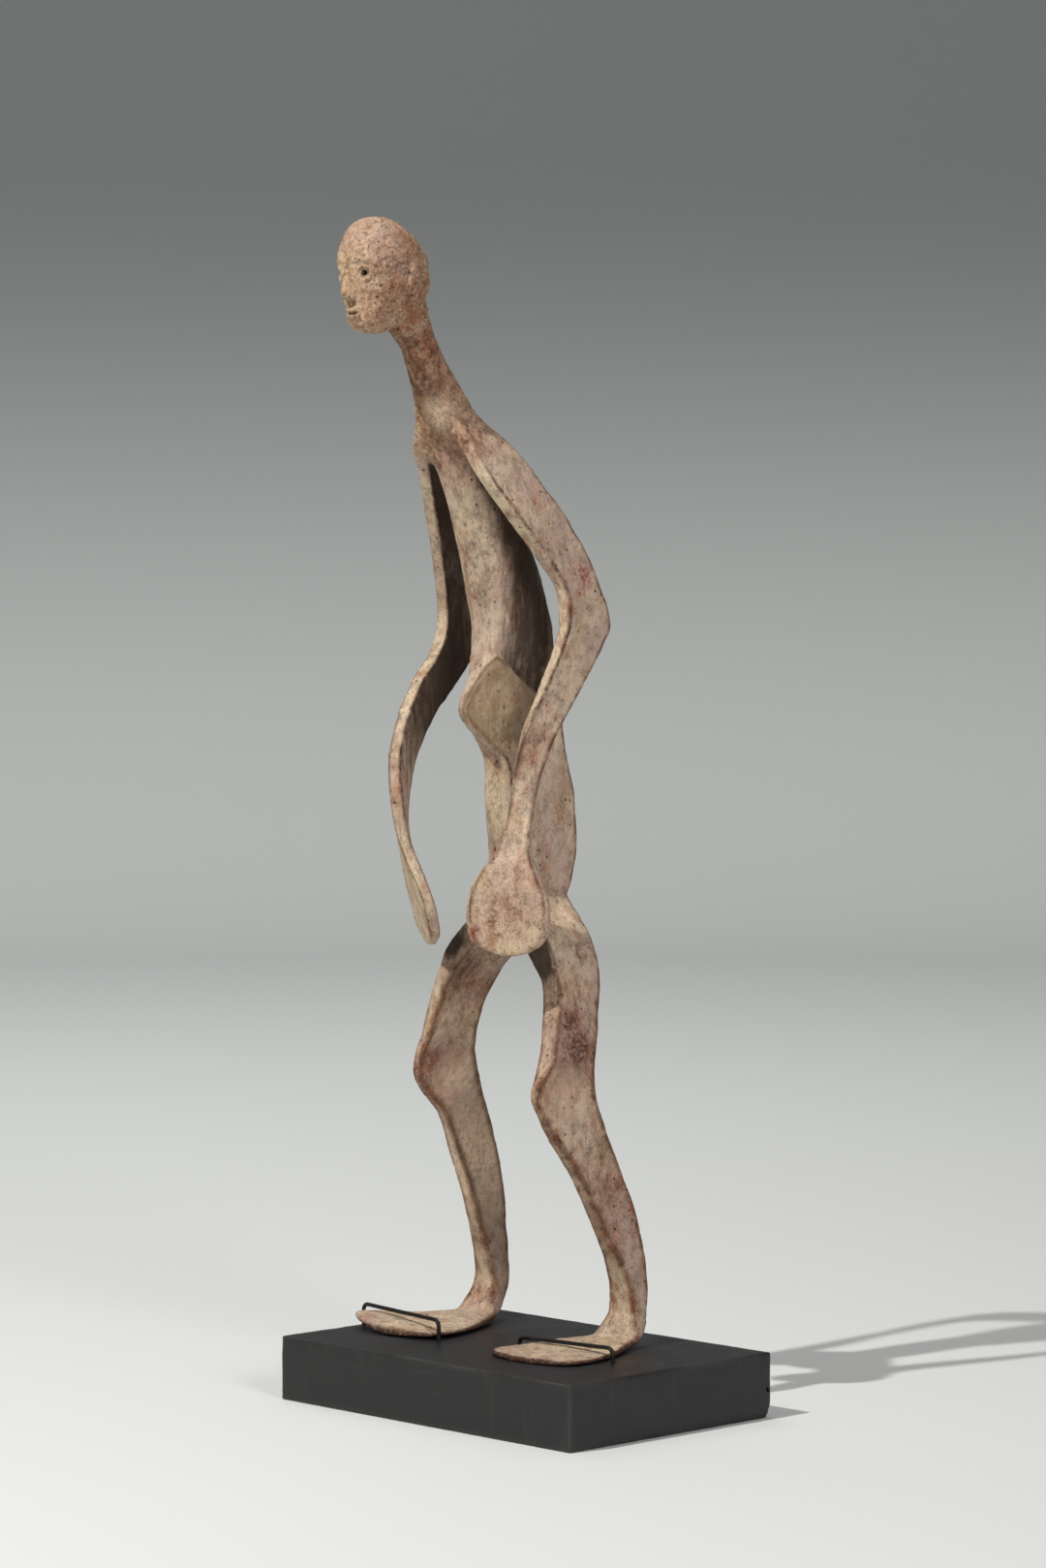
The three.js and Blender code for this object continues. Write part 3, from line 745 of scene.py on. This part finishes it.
def bent_wire(name, inner, outer, seed):
    """Up from one leg, over the foot and down the other, a little uneven as bent by hand."""
    inner, outer = np.array(inner, float), np.array(outer, float)
    down = BLOCK[2] - ROOT
    corners = [np.array((*inner[:2], down)), inner, outer, np.array((*outer[:2], down))]
    path = [corners[0]]
    for i in (1, 2):
        before = corners[i - 1] - corners[i]
        after = corners[i + 1] - corners[i]
        before, after = before / np.linalg.norm(before), after / np.linalg.norm(after)
        half = math.acos(before @ after) / 2
        set_back = BEND / math.tan(half)
        centre = corners[i] + (before + after) / np.linalg.norm(before + after) * BEND / math.sin(half)
        start, end = corners[i] + before * set_back - centre, corners[i] + after * set_back - centre
        for t in np.linspace(0, 1, 11):
            swing = start * (1 - t) + end * t
            path.append(centre + swing / np.linalg.norm(swing) * BEND)
    path.append(corners[3])
    path = np.array(path)
    run = np.concatenate([[0], np.cumsum(np.linalg.norm(np.diff(path, axis=0), axis=1))])
    at = np.unique(np.concatenate([run, np.arange(0, run[-1], 2.5)]))
    fine = np.stack([np.interp(at, run, path[:, i]) for i in range(3)], axis=1)
    flat = np.cross(outer - inner, (0, 0, 1))
    flat /= np.linalg.norm(flat)
    sway = np.array([noise.noise((s / 22, seed, 0)) for s in at])
    sway *= smooth(BLOCK[2] + 1, BLOCK[2] + 6, fine[:, 2])
    fine += flat * (0.5 * sway)[:, None]
    thick = WIRE * (1 + 0.035 * np.array([noise.noise((s / 3, seed, 5)) for s in at]))
    return tube(name, fine, thick, 16, flat)


# Materials
class Paint:
    """A material on a piece's own coordinates, in metres."""

    def __init__(self, name):
        self.material = bpy.data.materials.new(name)
        self.material.use_nodes = True
        self.tree = self.material.node_tree
        self.tree.nodes.clear()
        self.shader = self.tree.nodes.new("ShaderNodeBsdfPrincipled")
        out = self.tree.nodes.new("ShaderNodeOutputMaterial")
        self.tree.links.new(self.shader.outputs["BSDF"], out.inputs["Surface"])
        self.where = self.tree.nodes.new("ShaderNodeTexCoord").outputs["Object"]

    def put(self, socket, value):
        if isinstance(value, bpy.types.NodeSocket):
            self.tree.links.new(value, socket)
        else:
            socket.default_value = value

    def noise(self, size, seed=0, stretch=(1, 1, 1), detail=3, rough=0.5):
        """Noise from 0 to 1 with features of about this size in millimetres, longer by stretch."""
        mapping = self.tree.nodes.new("ShaderNodeMapping")
        self.put(mapping.inputs["Vector"], self.where)
        mapping.inputs["Location"].default_value = (seed * 3.1, seed * 1.7, seed * 2.3)
        mapping.inputs["Scale"].default_value = [1 / (size * MM * s) for s in stretch]
        out = self.tree.nodes.new("ShaderNodeTexNoise")
        self.put(out.inputs["Vector"], mapping.outputs["Vector"])
        out.inputs["Scale"].default_value = 1
        out.inputs["Detail"].default_value = detail
        out.inputs["Roughness"].default_value = rough
        return out.outputs["Fac"]

    def cells(self, size, seed, feature, waver=0):
        """Distance in random cells of this size, from their middles or from their walls by feature."""
        mapping = self.tree.nodes.new("ShaderNodeMapping")
        self.put(mapping.inputs["Vector"], self.where)
        mapping.inputs["Location"].default_value = (seed * 2.1, seed * 3.7, seed * 1.3)
        mapping.inputs["Scale"].default_value = [1 / (size * MM)] * 3
        bend = self.tree.nodes.new("ShaderNodeTexNoise")
        self.put(bend.inputs["Vector"], mapping.outputs["Vector"])
        bend.inputs["Scale"].default_value = 1.3
        shift = self.tree.nodes.new("ShaderNodeVectorMath")
        shift.operation = "MULTIPLY_ADD"
        self.put(shift.inputs[0], bend.outputs["Color"])
        shift.inputs[1].default_value = (waver, waver, waver)
        self.put(shift.inputs[2], mapping.outputs["Vector"])
        out = self.tree.nodes.new("ShaderNodeTexVoronoi")
        out.feature = feature
        self.put(out.inputs["Vector"], shift.outputs["Vector"])
        out.inputs["Scale"].default_value = 1
        return out

    def attribute(self, name):
        out = self.tree.nodes.new("ShaderNodeAttribute")
        out.attribute_name = name
        return out.outputs["Fac"]

    def step(self, value, low, high, start=0, end=1):
        out = self.tree.nodes.new("ShaderNodeMapRange")
        out.interpolation_type = "SMOOTHSTEP"
        for name, number in zip(("From Min", "From Max", "To Min", "To Max"), (low, high, start, end)):
            out.inputs[name].default_value = number
        self.put(out.inputs["Value"], value)
        return out.outputs["Result"]

    def math(self, operation, a, b):
        out = self.tree.nodes.new("ShaderNodeMath")
        out.operation = operation
        out.use_clamp = operation in ("ADD", "SUBTRACT")
        self.put(out.inputs[0], a)
        self.put(out.inputs[1], b)
        return out.outputs["Value"]

    def times(self, a, b):
        return self.math("MULTIPLY", a, b)

    def plus(self, a, b):
        """The sum, held within 0 and 1."""
        return self.math("ADD", a, b)

    def minus(self, a, b):
        """The difference, held within 0 and 1."""
        return self.math("SUBTRACT", a, b)

    def blend(self, share, a, b, mode="MIX"):
        out = self.tree.nodes.new("ShaderNodeMix")
        out.data_type = "RGBA"
        out.blend_type = mode
        self.put(out.inputs[0], share)
        for socket, value in ((out.inputs[6], a), (out.inputs[7], b)):
            self.put(socket, value if isinstance(value, bpy.types.NodeSocket) else (*value, 1))
        return out.outputs[2]

    def bump(self, height, strength, distance, under=None):
        out = self.tree.nodes.new("ShaderNodeBump")
        out.inputs["Strength"].default_value = strength
        out.inputs["Distance"].default_value = distance * MM
        self.put(out.inputs["Height"], height)
        if under:
            self.put(out.inputs["Normal"], under)
        return out.outputs["Normal"]


def srgb(red, green, blue):
    return tuple(
        ((c / 255 + 0.055) / 1.055) ** 2.4 if c > 10 else c / 255 / 12.92 for c in (red, green, blue)
    )


def worn_wood():
    paint = Paint("worn_kaolin_wood")
    cream, rose, grey, tan = srgb(210, 190, 160), srgb(188, 162, 146), srgb(154, 139, 124), srgb(158, 130, 96)
    umber, rust, bark = srgb(84, 52, 36), srgb(150, 88, 58), srgb(40, 28, 20)
    broad = paint.noise(55, 1, detail=3)
    middle = paint.noise(15, 2, (1, 1, 1.6), detail=6, rough=0.66)
    small = paint.noise(8, 8, (1, 1, 1.4), detail=6, rough=0.72)
    fine = paint.noise(3.2, 3, (1, 1, 1.1), detail=5, rough=0.72)
    grain = paint.noise(1.3, 4, (1, 1, 18), detail=4, rough=0.6)
    crust, arris, earth_and_shade = paint.attribute("crust"), paint.attribute("arris"), paint.attribute("earth_and_shade")
    # Cream turning rose in broad patches, and painted shade: faces turned to the sides are painted rosier and
    # darker than those facing the front
    rose_and_side_shade = paint.plus(paint.step(broad, 0.42, 0.62, 0, 0.7), paint.times(paint.attribute("flank"), 0.5))
    colour = paint.blend(rose_and_side_shade, cream, rose)
    ash = paint.plus(paint.step(small, 0.44, 0.64, 0, 0.7), paint.times(paint.attribute("ash"), 0.6))
    ash = paint.times(ash, paint.minus(1, paint.times(crust, 0.6)))
    colour = paint.blend(ash, colour, grey)
    colour = paint.blend(paint.step(paint.noise(22, 12, (1, 1, 2), 5, 0.6), 0.5, 0.68, 0, 0.55), colour, tan)
    clay = paint.times(crust, paint.step(paint.noise(11, 14, detail=5, rough=0.65), 0.36, 0.6, 0.28, 0.85))
    colour = paint.blend(clay, colour, srgb(179, 126, 86))
    # Rust and umber mottling, which also carry the painted shade of the neck, shoulders, head side and far
    # thigh
    rust_and_shade = paint.plus(paint.step(middle, 0.49, 0.66, 0, 0.6), paint.times(earth_and_shade, 0.5))
    rust_and_shade = paint.times(rust_and_shade, paint.step(fine, 0.36, 0.58, 0.35, 1))
    colour = paint.blend(rust_and_shade, colour, rust)
    umber_and_shade = paint.times(paint.step(small, 0.55, 0.7), paint.step(fine, 0.46, 0.6))
    umber_and_shade = paint.plus(paint.times(umber_and_shade, 0.6), paint.times(earth_and_shade, paint.step(small, 0.4, 0.62, 0.1, 0.7)))
    colour = paint.blend(umber_and_shade, colour, umber)
    colour = paint.blend(paint.step(grain, 0.5, 0.72, 0, 0.26), colour, umber)
    grit = paint.step(paint.noise(2.1, 13, detail=6, rough=0.78), 0.4, 0.54, 1, 0)
    gritty = paint.times(grit, paint.plus(paint.times(crust, 0.5), 0.12))
    colour = paint.blend(gritty, colour, srgb(98, 62, 42))
    crack = paint.step(paint.cells(11, 5, "DISTANCE_TO_EDGE", 2.2).outputs["Distance"], 0.01, 0.07, 1, 0)
    crack = paint.times(crack, paint.step(small, 0.44, 0.56))
    crack = paint.times(crack, paint.plus(crust, 0.35))
    crack = paint.plus(crack, paint.times(paint.attribute("split"), paint.step(fine, 0.34, 0.62, 0.1, 0.75)))
    colour = paint.blend(paint.times(crack, 0.7), colour, srgb(98, 62, 44))
    pit = paint.cells(6.5, 9, "F1")
    dot = paint.step(pit.outputs["Distance"], 0.1, 0.24, 1, 0)
    dot = paint.times(dot, paint.step(pit.outputs["Color"], 0.48, 0.58))
    dot = paint.times(dot, paint.step(middle, 0.42, 0.55, 0.25, 0.95))
    colour = paint.blend(dot, colour, srgb(62, 38, 28))
    speck = paint.step(paint.noise(1.5, 5, detail=5, rough=0.75), 0.56, 0.64)
    speck = paint.times(speck, paint.step(paint.noise(24, 6), 0.38, 0.6, 0.35, 1))
    speck = paint.times(speck, paint.minus(1, paint.times(crust, 0.55)))
    colour = paint.blend(speck, colour, umber)
    worn = paint.times(arris, paint.step(paint.noise(10, 10, detail=6, rough=0.75), 0.36, 0.56, 0.2, 1))
    colour = paint.blend(worn, colour, srgb(84, 50, 34))
    colour = paint.blend(paint.times(paint.attribute("hollow"), 0.9), colour, bark)
    # Olive tone, partly painted shade on faces turned away from the light
    olive_and_shade = paint.times(paint.attribute("olive_and_shade"), paint.step(small, 0.36, 0.6, 0.35, 1))
    colour = paint.blend(olive_and_shade, colour, srgb(148, 124, 88))
    # Painted shade with some dark patina: dark brown with streaks where the painted shade mask is strong
    streak = paint.noise(5, 7, (1, 1, 9), detail=4, rough=0.65)
    shade_and_patina = paint.plus(paint.attribute("shade_and_patina"), paint.step(streak, 0.3, 0.75, 0, 0.25))
    colour = paint.blend(paint.step(shade_and_patina, 0.3, 0.85, 0, 0.93), colour, srgb(52, 38, 27))
    stain = paint.times(paint.attribute("stain"), paint.step(fine, 0.35, 0.6, 0.25, 1))
    colour = paint.blend(stain, colour, srgb(82, 47, 36))
    red = paint.times(paint.attribute("red"), paint.step(fine, 0.42, 0.58, 0.1, 1))
    colour = paint.blend(red, colour, srgb(142, 66, 50))
    # Pale coat, partly painted light on the chest and the far leg's inner face
    pale = paint.times(paint.attribute("pale"), paint.step(fine, 0.35, 0.6, 0.3, 1))
    colour = paint.blend(pale, colour, srgb(244, 214, 184))
    # Dark red-brown foot rims, partly painted contact shade
    sole = paint.times(paint.attribute("sole"), paint.step(fine, 0.3, 0.56, 0.55, 0.95))
    colour = paint.blend(sole, colour, srgb(62, 36, 27))
    paint.put(paint.shader.inputs["Base Color"], colour)
    paint.put(paint.shader.inputs["Roughness"], paint.step(middle, 0.3, 0.7, 0.7, 0.92))
    paint.shader.inputs["Specular IOR Level"].default_value = 0.3
    relief = paint.plus(paint.times(fine, 0.6), paint.times(grain, 0.4))
    relief = paint.minus(relief, paint.times(crack, 0.3))
    relief = paint.minus(relief, paint.times(paint.times(grit, crust), 0.35))
    paint.put(paint.shader.inputs["Normal"], paint.bump(relief, 0.8, 1.3))
    return paint.material


def block_paint():
    paint = Paint("scuffed_black_paint")
    soot, ash, dust = srgb(18, 18, 19), srgb(31, 31, 32), srgb(96, 90, 84)
    broad = paint.noise(70, 11, detail=3)
    fine = paint.noise(2.2, 12, detail=4)
    scratch = paint.step(paint.noise(3, 13, (30, 1, 1), detail=2), 0.66, 0.74)
    colour = paint.blend(paint.step(broad, 0.35, 0.7), soot, ash)
    colour = paint.blend(paint.times(scratch, 0.12), colour, dust)
    wipe = paint.step(paint.noise(11, 15, (1, 1, 5), detail=4), 0.56, 0.74, 0, 0.09)
    colour = paint.blend(wipe, colour, dust)
    worn = paint.times(paint.attribute("rim"), paint.step(broad, 0.4, 0.6, 0.15, 0.8))
    colour = paint.blend(paint.times(worn, 0.22), colour, dust)
    paint.put(paint.shader.inputs["Base Color"], colour)
    paint.put(paint.shader.inputs["Roughness"], paint.step(broad, 0.3, 0.7, 0.4, 0.6))
    paint.put(paint.shader.inputs["Normal"], paint.bump(fine, 0.2, 0.25))
    return paint.material


def black_iron():
    paint = Paint("blackened_iron")
    fine = paint.noise(2.5, 21, detail=4)
    colour = paint.blend(paint.step(fine, 0.5, 0.8), srgb(24, 23, 22), srgb(64, 56, 50))
    paint.put(paint.shader.inputs["Base Color"], colour)
    paint.shader.inputs["Metallic"].default_value = 0.5
    paint.put(paint.shader.inputs["Roughness"], paint.step(fine, 0.3, 0.7, 0.38, 0.6))
    paint.put(paint.shader.inputs["Normal"], paint.bump(fine, 0.3, 0.2))
    return paint.material


def give(obj, material):
    obj.data.materials.clear()
    obj.data.materials.append(material)


def write(mesh, name, values):
    """Gives the mesh a number from 0 to 1 at each point, for its paint."""
    held = np.clip(values, 0, 1).astype(np.float32)
    mesh.attributes.new(name, "FLOAT", "POINT").data.foreach_set("value", held)


def spots(co, *places):
    """The strongest of several soft spots, each x, y, z, radius and strength."""
    return np.maximum.reduce([near(co, np.array(p[:3]), p[3]) * p[4] for p in places])


links = edges(mesh)
side = normals(mesh)
soft = relax(co, links, 8, firm=False)
proud = ((co - soft) * side).sum(1)
closed = shelter(figure)
edge, seam = arris(co, corner_lines, 2.4), arris(co, corner_lines, 5)
below = np.interp(co[:, 1], BELLY_Y, BELLY_Z) - co[:, 2]
flank = smooth(0.3, 0.7, side[:, 0]) * (np.abs(co[:, 0] - MIDLINE) < 36)
rim = flank * (1 - smooth(-24, -10, co[:, 1])) * (1 - smooth(0.6, 2.6, np.abs(below + 0.3)))
low = 1 - smooth(300, 360, co[:, 2])
write(mesh, "arris", np.maximum.reduce([(1.4 - 0.4 * low) * edge, 0.7 * smooth(0.35, 1.0, proud), 0.9 * rim]))
# The hollows of the carving are darkened, up to near black
write(mesh, "hollow", smooth(0.35, 1.0, -proud))
write(mesh, "crust", crust_of(co))
write(mesh, "split", splits_of(co, crust_of(co)))
# Faces turned to the sides, for their painted shade
write(mesh, "flank", smooth(0.5, 0.9, np.abs(side[:, 0])))
# The sides of the feet next to the block: a real dark red-brown rim, darkened further as painted contact
# shade
sole_side = (1 - smooth(SOLE + 4, SOLE + 9, co[:, 2])) * (1 - smooth(0.86, 0.985, side[:, 2]))
# Brown soiling, and painted shade: the neck and shoulders under the head, the head's right side, the far
# thigh by the hips and the sides of the feet are painted darker as if in shadow
write(mesh, "earth_and_shade", np.maximum.reduce([0.8 * sole_side, 2.0 * low * seam * smooth(60, 75, co[:, 2]), spots(
    co, (-16, -94, 803, 48, 1.5), (-16, -118, 828, 30, 0.5), (20, -122, 850, 30, 0.5),
    (-16, -58, 742, 46, 0.9), (14, -74, 742, 26, 1.2), (-16, -20, 660, 60, 0.25), (44, -30, 510, 36, 0.7),
    (-54, -8, 335, 40, 0.9), (-60, -5, 320, 44, 0.5), (48, -5, 312, 50, 0.75), (56, 0, 262, 44, 0.55),
    (64, 20, 170, 74, 0.6), (-82, -8, 262, 38, 0.7), (-98, 38, 150, 70, 0.45),
)]))
# Painted shade, with some real dark patina: the far arm's inner face, the waist behind the near arm, the
# crotch, the far thigh and every place closed in by other parts are painted dark brown
inner_arm = smooth(0.4, 0.8, side[:, 0]) * (co[:, 0] < MIDLINE - 18)
inner_arm = inner_arm * smooth(430, 530, co[:, 2]) * (co[:, 2] < 780)
waist = smooth(0.2, 0.8, side[:, 0]) * (np.abs(co[:, 0] - MIDLINE) < 36) * smooth(-43, -12, co[:, 1])
waist *= (1 - smooth(-5, 1, below)) * (1 - smooth(690, 735, co[:, 2]))
groin = spots(co, (-52, -10, 342, 34, 0.4), (-58, -21, 356, 20, 0.7), (28, -8, 350, 30, 1.2))
groin *= 1 - 0.8 * smooth(0.3, 0.7, side[:, 0]) * (co[:, 0] > 0)
dark_arm = (0.42 - 0.08 * smooth(600, 660, co[:, 2])) * inner_arm
write(mesh, "shade_and_patina", groin + closed * smooth(300, 380, co[:, 2]) + dark_arm + 0.42 * waist)
# Olive tone, partly real and partly painted shade, on the belly's side face and the far leg's inner face,
# both turned away from the key light
belly = flank * smooth(-1.5, 0.5, below) * (1 - smooth(60, 74, below + 0.9 * np.maximum(0, co[:, 1] + 20)))
inner_leg = smooth(0.4, 0.8, side[:, 0]) * (co[:, 0] < -40) * (co[:, 2] < 380) * (co[:, 2] > 64)
write(mesh, "olive_and_shade", 0.7 * belly + 0.15 * inner_leg)
write(mesh, "sole", sole_side)
write(mesh, "ash", spots(co, (-10, -40, 640, 90, 0.7), (-8, -50, 700, 40, 0.6), (44, -28, 505, 50, 0.7)))
write(mesh, "stain", spots(
    co, (-85, 0, 278, 30, 0.35), (53, 7, 282, 24, 1.4), (52, 1, 300, 20, 0.9), (55, 8, 262, 14, 0.6),
    (54, -2, 222, 8, 0.6), (-79, 6, 266, 9, 0.6), (-80, -20, 268, 14, 0.6), (38, 23, 352, 7, 0.8),
    (10, -59, 372, 6, 0.7), (66, 40, 66, 16, 0.5),
))
write(mesh, "red", spots(
    co, (61, 5, 641, 15, 1.1), (62, 0, 628, 10, 0.9), (6, -60, 372, 10, 0.7), (43, -20, 330, 18, 0.6),
    (-88, -20, 262, 16, 0.5), (81, 42, 57, 13, 0.8), (90, 30, 66, 10, 0.5), (-128, -45, 60, 9, 0.6),
))
# Pale patches of the coat, partly painted light: the chest patch is painted bright where the head's shadow
# falls, and the far leg's inner face is painted lighter than its lighting gives
write(mesh, "pale", (1 - 1.2 * seam) * spots(
    co, (-4, -84, 762, 22, 1.0), (20, 28, 382, 16, 0.6), (56, -4, 244, 32, 0.3), (-96, 40, 180, 75, 1.0),
    (-80, 8, 250, 34, 0.5),
))
give(figure, worn_wood())
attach(figure, "root")
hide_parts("figure")

block = board()
give(block, block_paint())
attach(block, "root")
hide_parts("block")

iron = black_iron()
for seed, (name, (inner, outer)) in enumerate(STAPLES.items()):
    wire = bent_wire(f"bent_wire_{name}", inner, outer, seed + 40)
    give(wire, iron)
    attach(wire, "root")
    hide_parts(f"staple_{name}")


# Floor, backdrop, light and camera
PALE_FLOOR = srgb(226, 228, 226)
GREY_WALL = srgb(130, 133, 133)


def studio():
    """A round pale floor that curves up into a wall, wide enough to look round the object inside it."""
    reach, bend, height, sides = 6.2, 1.6, 4.5, 96
    profile = [(r, 0) for r in (0.25, 0.6, 1.2, 2.4, 3.6)]
    for t in np.linspace(0, math.pi / 2, 16):
        profile.append((reach - bend + bend * math.sin(t), bend - bend * math.cos(t)))
    profile.append((reach, height))
    vertices = [(0, 0, 0)]
    for r, z in profile:
        round_angles = np.linspace(0, 2 * math.pi, sides, endpoint=False)
        vertices += [(r * math.cos(a), r * math.sin(a), z) for a in round_angles]
    faces = [(0, 1 + s, 1 + (s + 1) % sides) for s in range(sides)]
    for ring in range(len(profile) - 1):
        a, b = 1 + ring * sides, 1 + (ring + 1) * sides
        faces += [(a + s, b + s, b + (s + 1) % sides, a + (s + 1) % sides) for s in range(sides)]
    obj = new_object("studio", vertices, faces)
    shade_smooth(obj.data)
    paint = Paint("pale_sweep")
    place = paint.tree.nodes.new("ShaderNodeSeparateXYZ")
    paint.put(place.inputs[0], paint.where)
    colour = paint.blend(paint.step(place.outputs["Z"], 0, bend), PALE_FLOOR, GREY_WALL)
    paint.put(paint.shader.inputs["Base Color"], colour)
    paint.shader.inputs["Roughness"].default_value = 0.9
    give(obj, paint.material)


def lamp(name, place, aim, size, power, colour):
    data = bpy.data.lights.new(name, "AREA")
    data.shape, data.size, data.energy, data.color = "DISK", size, power, colour
    obj = bpy.data.objects.new(name, data)
    obj.location = place
    obj.rotation_mode = "QUATERNION"
    obj.rotation_quaternion = (Vector(aim) - Vector(place)).to_track_quat("-Z", "Y")
    bpy.context.scene.collection.objects.link(obj)


studio()
lamp("key", (-0.22, -1.97, 2.74), (0, 0, 0.4), 0.07, 79, (1.0, 0.975, 0.94))
lamp("fill", (5.6, -1.8, 2.6), (0, 0, 0.5), 2.2, 158, (1.0, 0.98, 0.98))
lamp("backdrop", (-1.96, 0.83, 3.4), (-4.1, 2.9, 0.2), 2.5, 50, (0.98, 1.0, 1.0))
world = bpy.data.worlds.new("soft_sky")
world.use_nodes = True
world.node_tree.nodes["Background"].inputs["Color"].default_value = (1.0, 1.0, 0.99, 1)
world.node_tree.nodes["Background"].inputs["Strength"].default_value = 0.28
bpy.context.scene.world = world
bpy.context.scene.view_settings.view_transform = "Standard"

camera = bpy.data.objects.new("camera", bpy.data.cameras.new("camera"))
camera.data.sensor_width = 36
camera.data.lens = 104.06
camera.location = (2.49747, -2.42064, 0.61332)
turn, tilt = math.radians(45.9), math.radians(2.16)  # round from the front, and down
camera.rotation_mode = "QUATERNION"
camera.rotation_quaternion = Vector(
    (-math.sin(turn) * math.cos(tilt), math.cos(turn) * math.cos(tilt), -math.sin(tilt))
).to_track_quat("-Z", "Y")
camera.data.clip_start, camera.data.clip_end = 0.1, 40
bpy.context.scene.collection.objects.link(camera)
bpy.context.scene.camera = camera
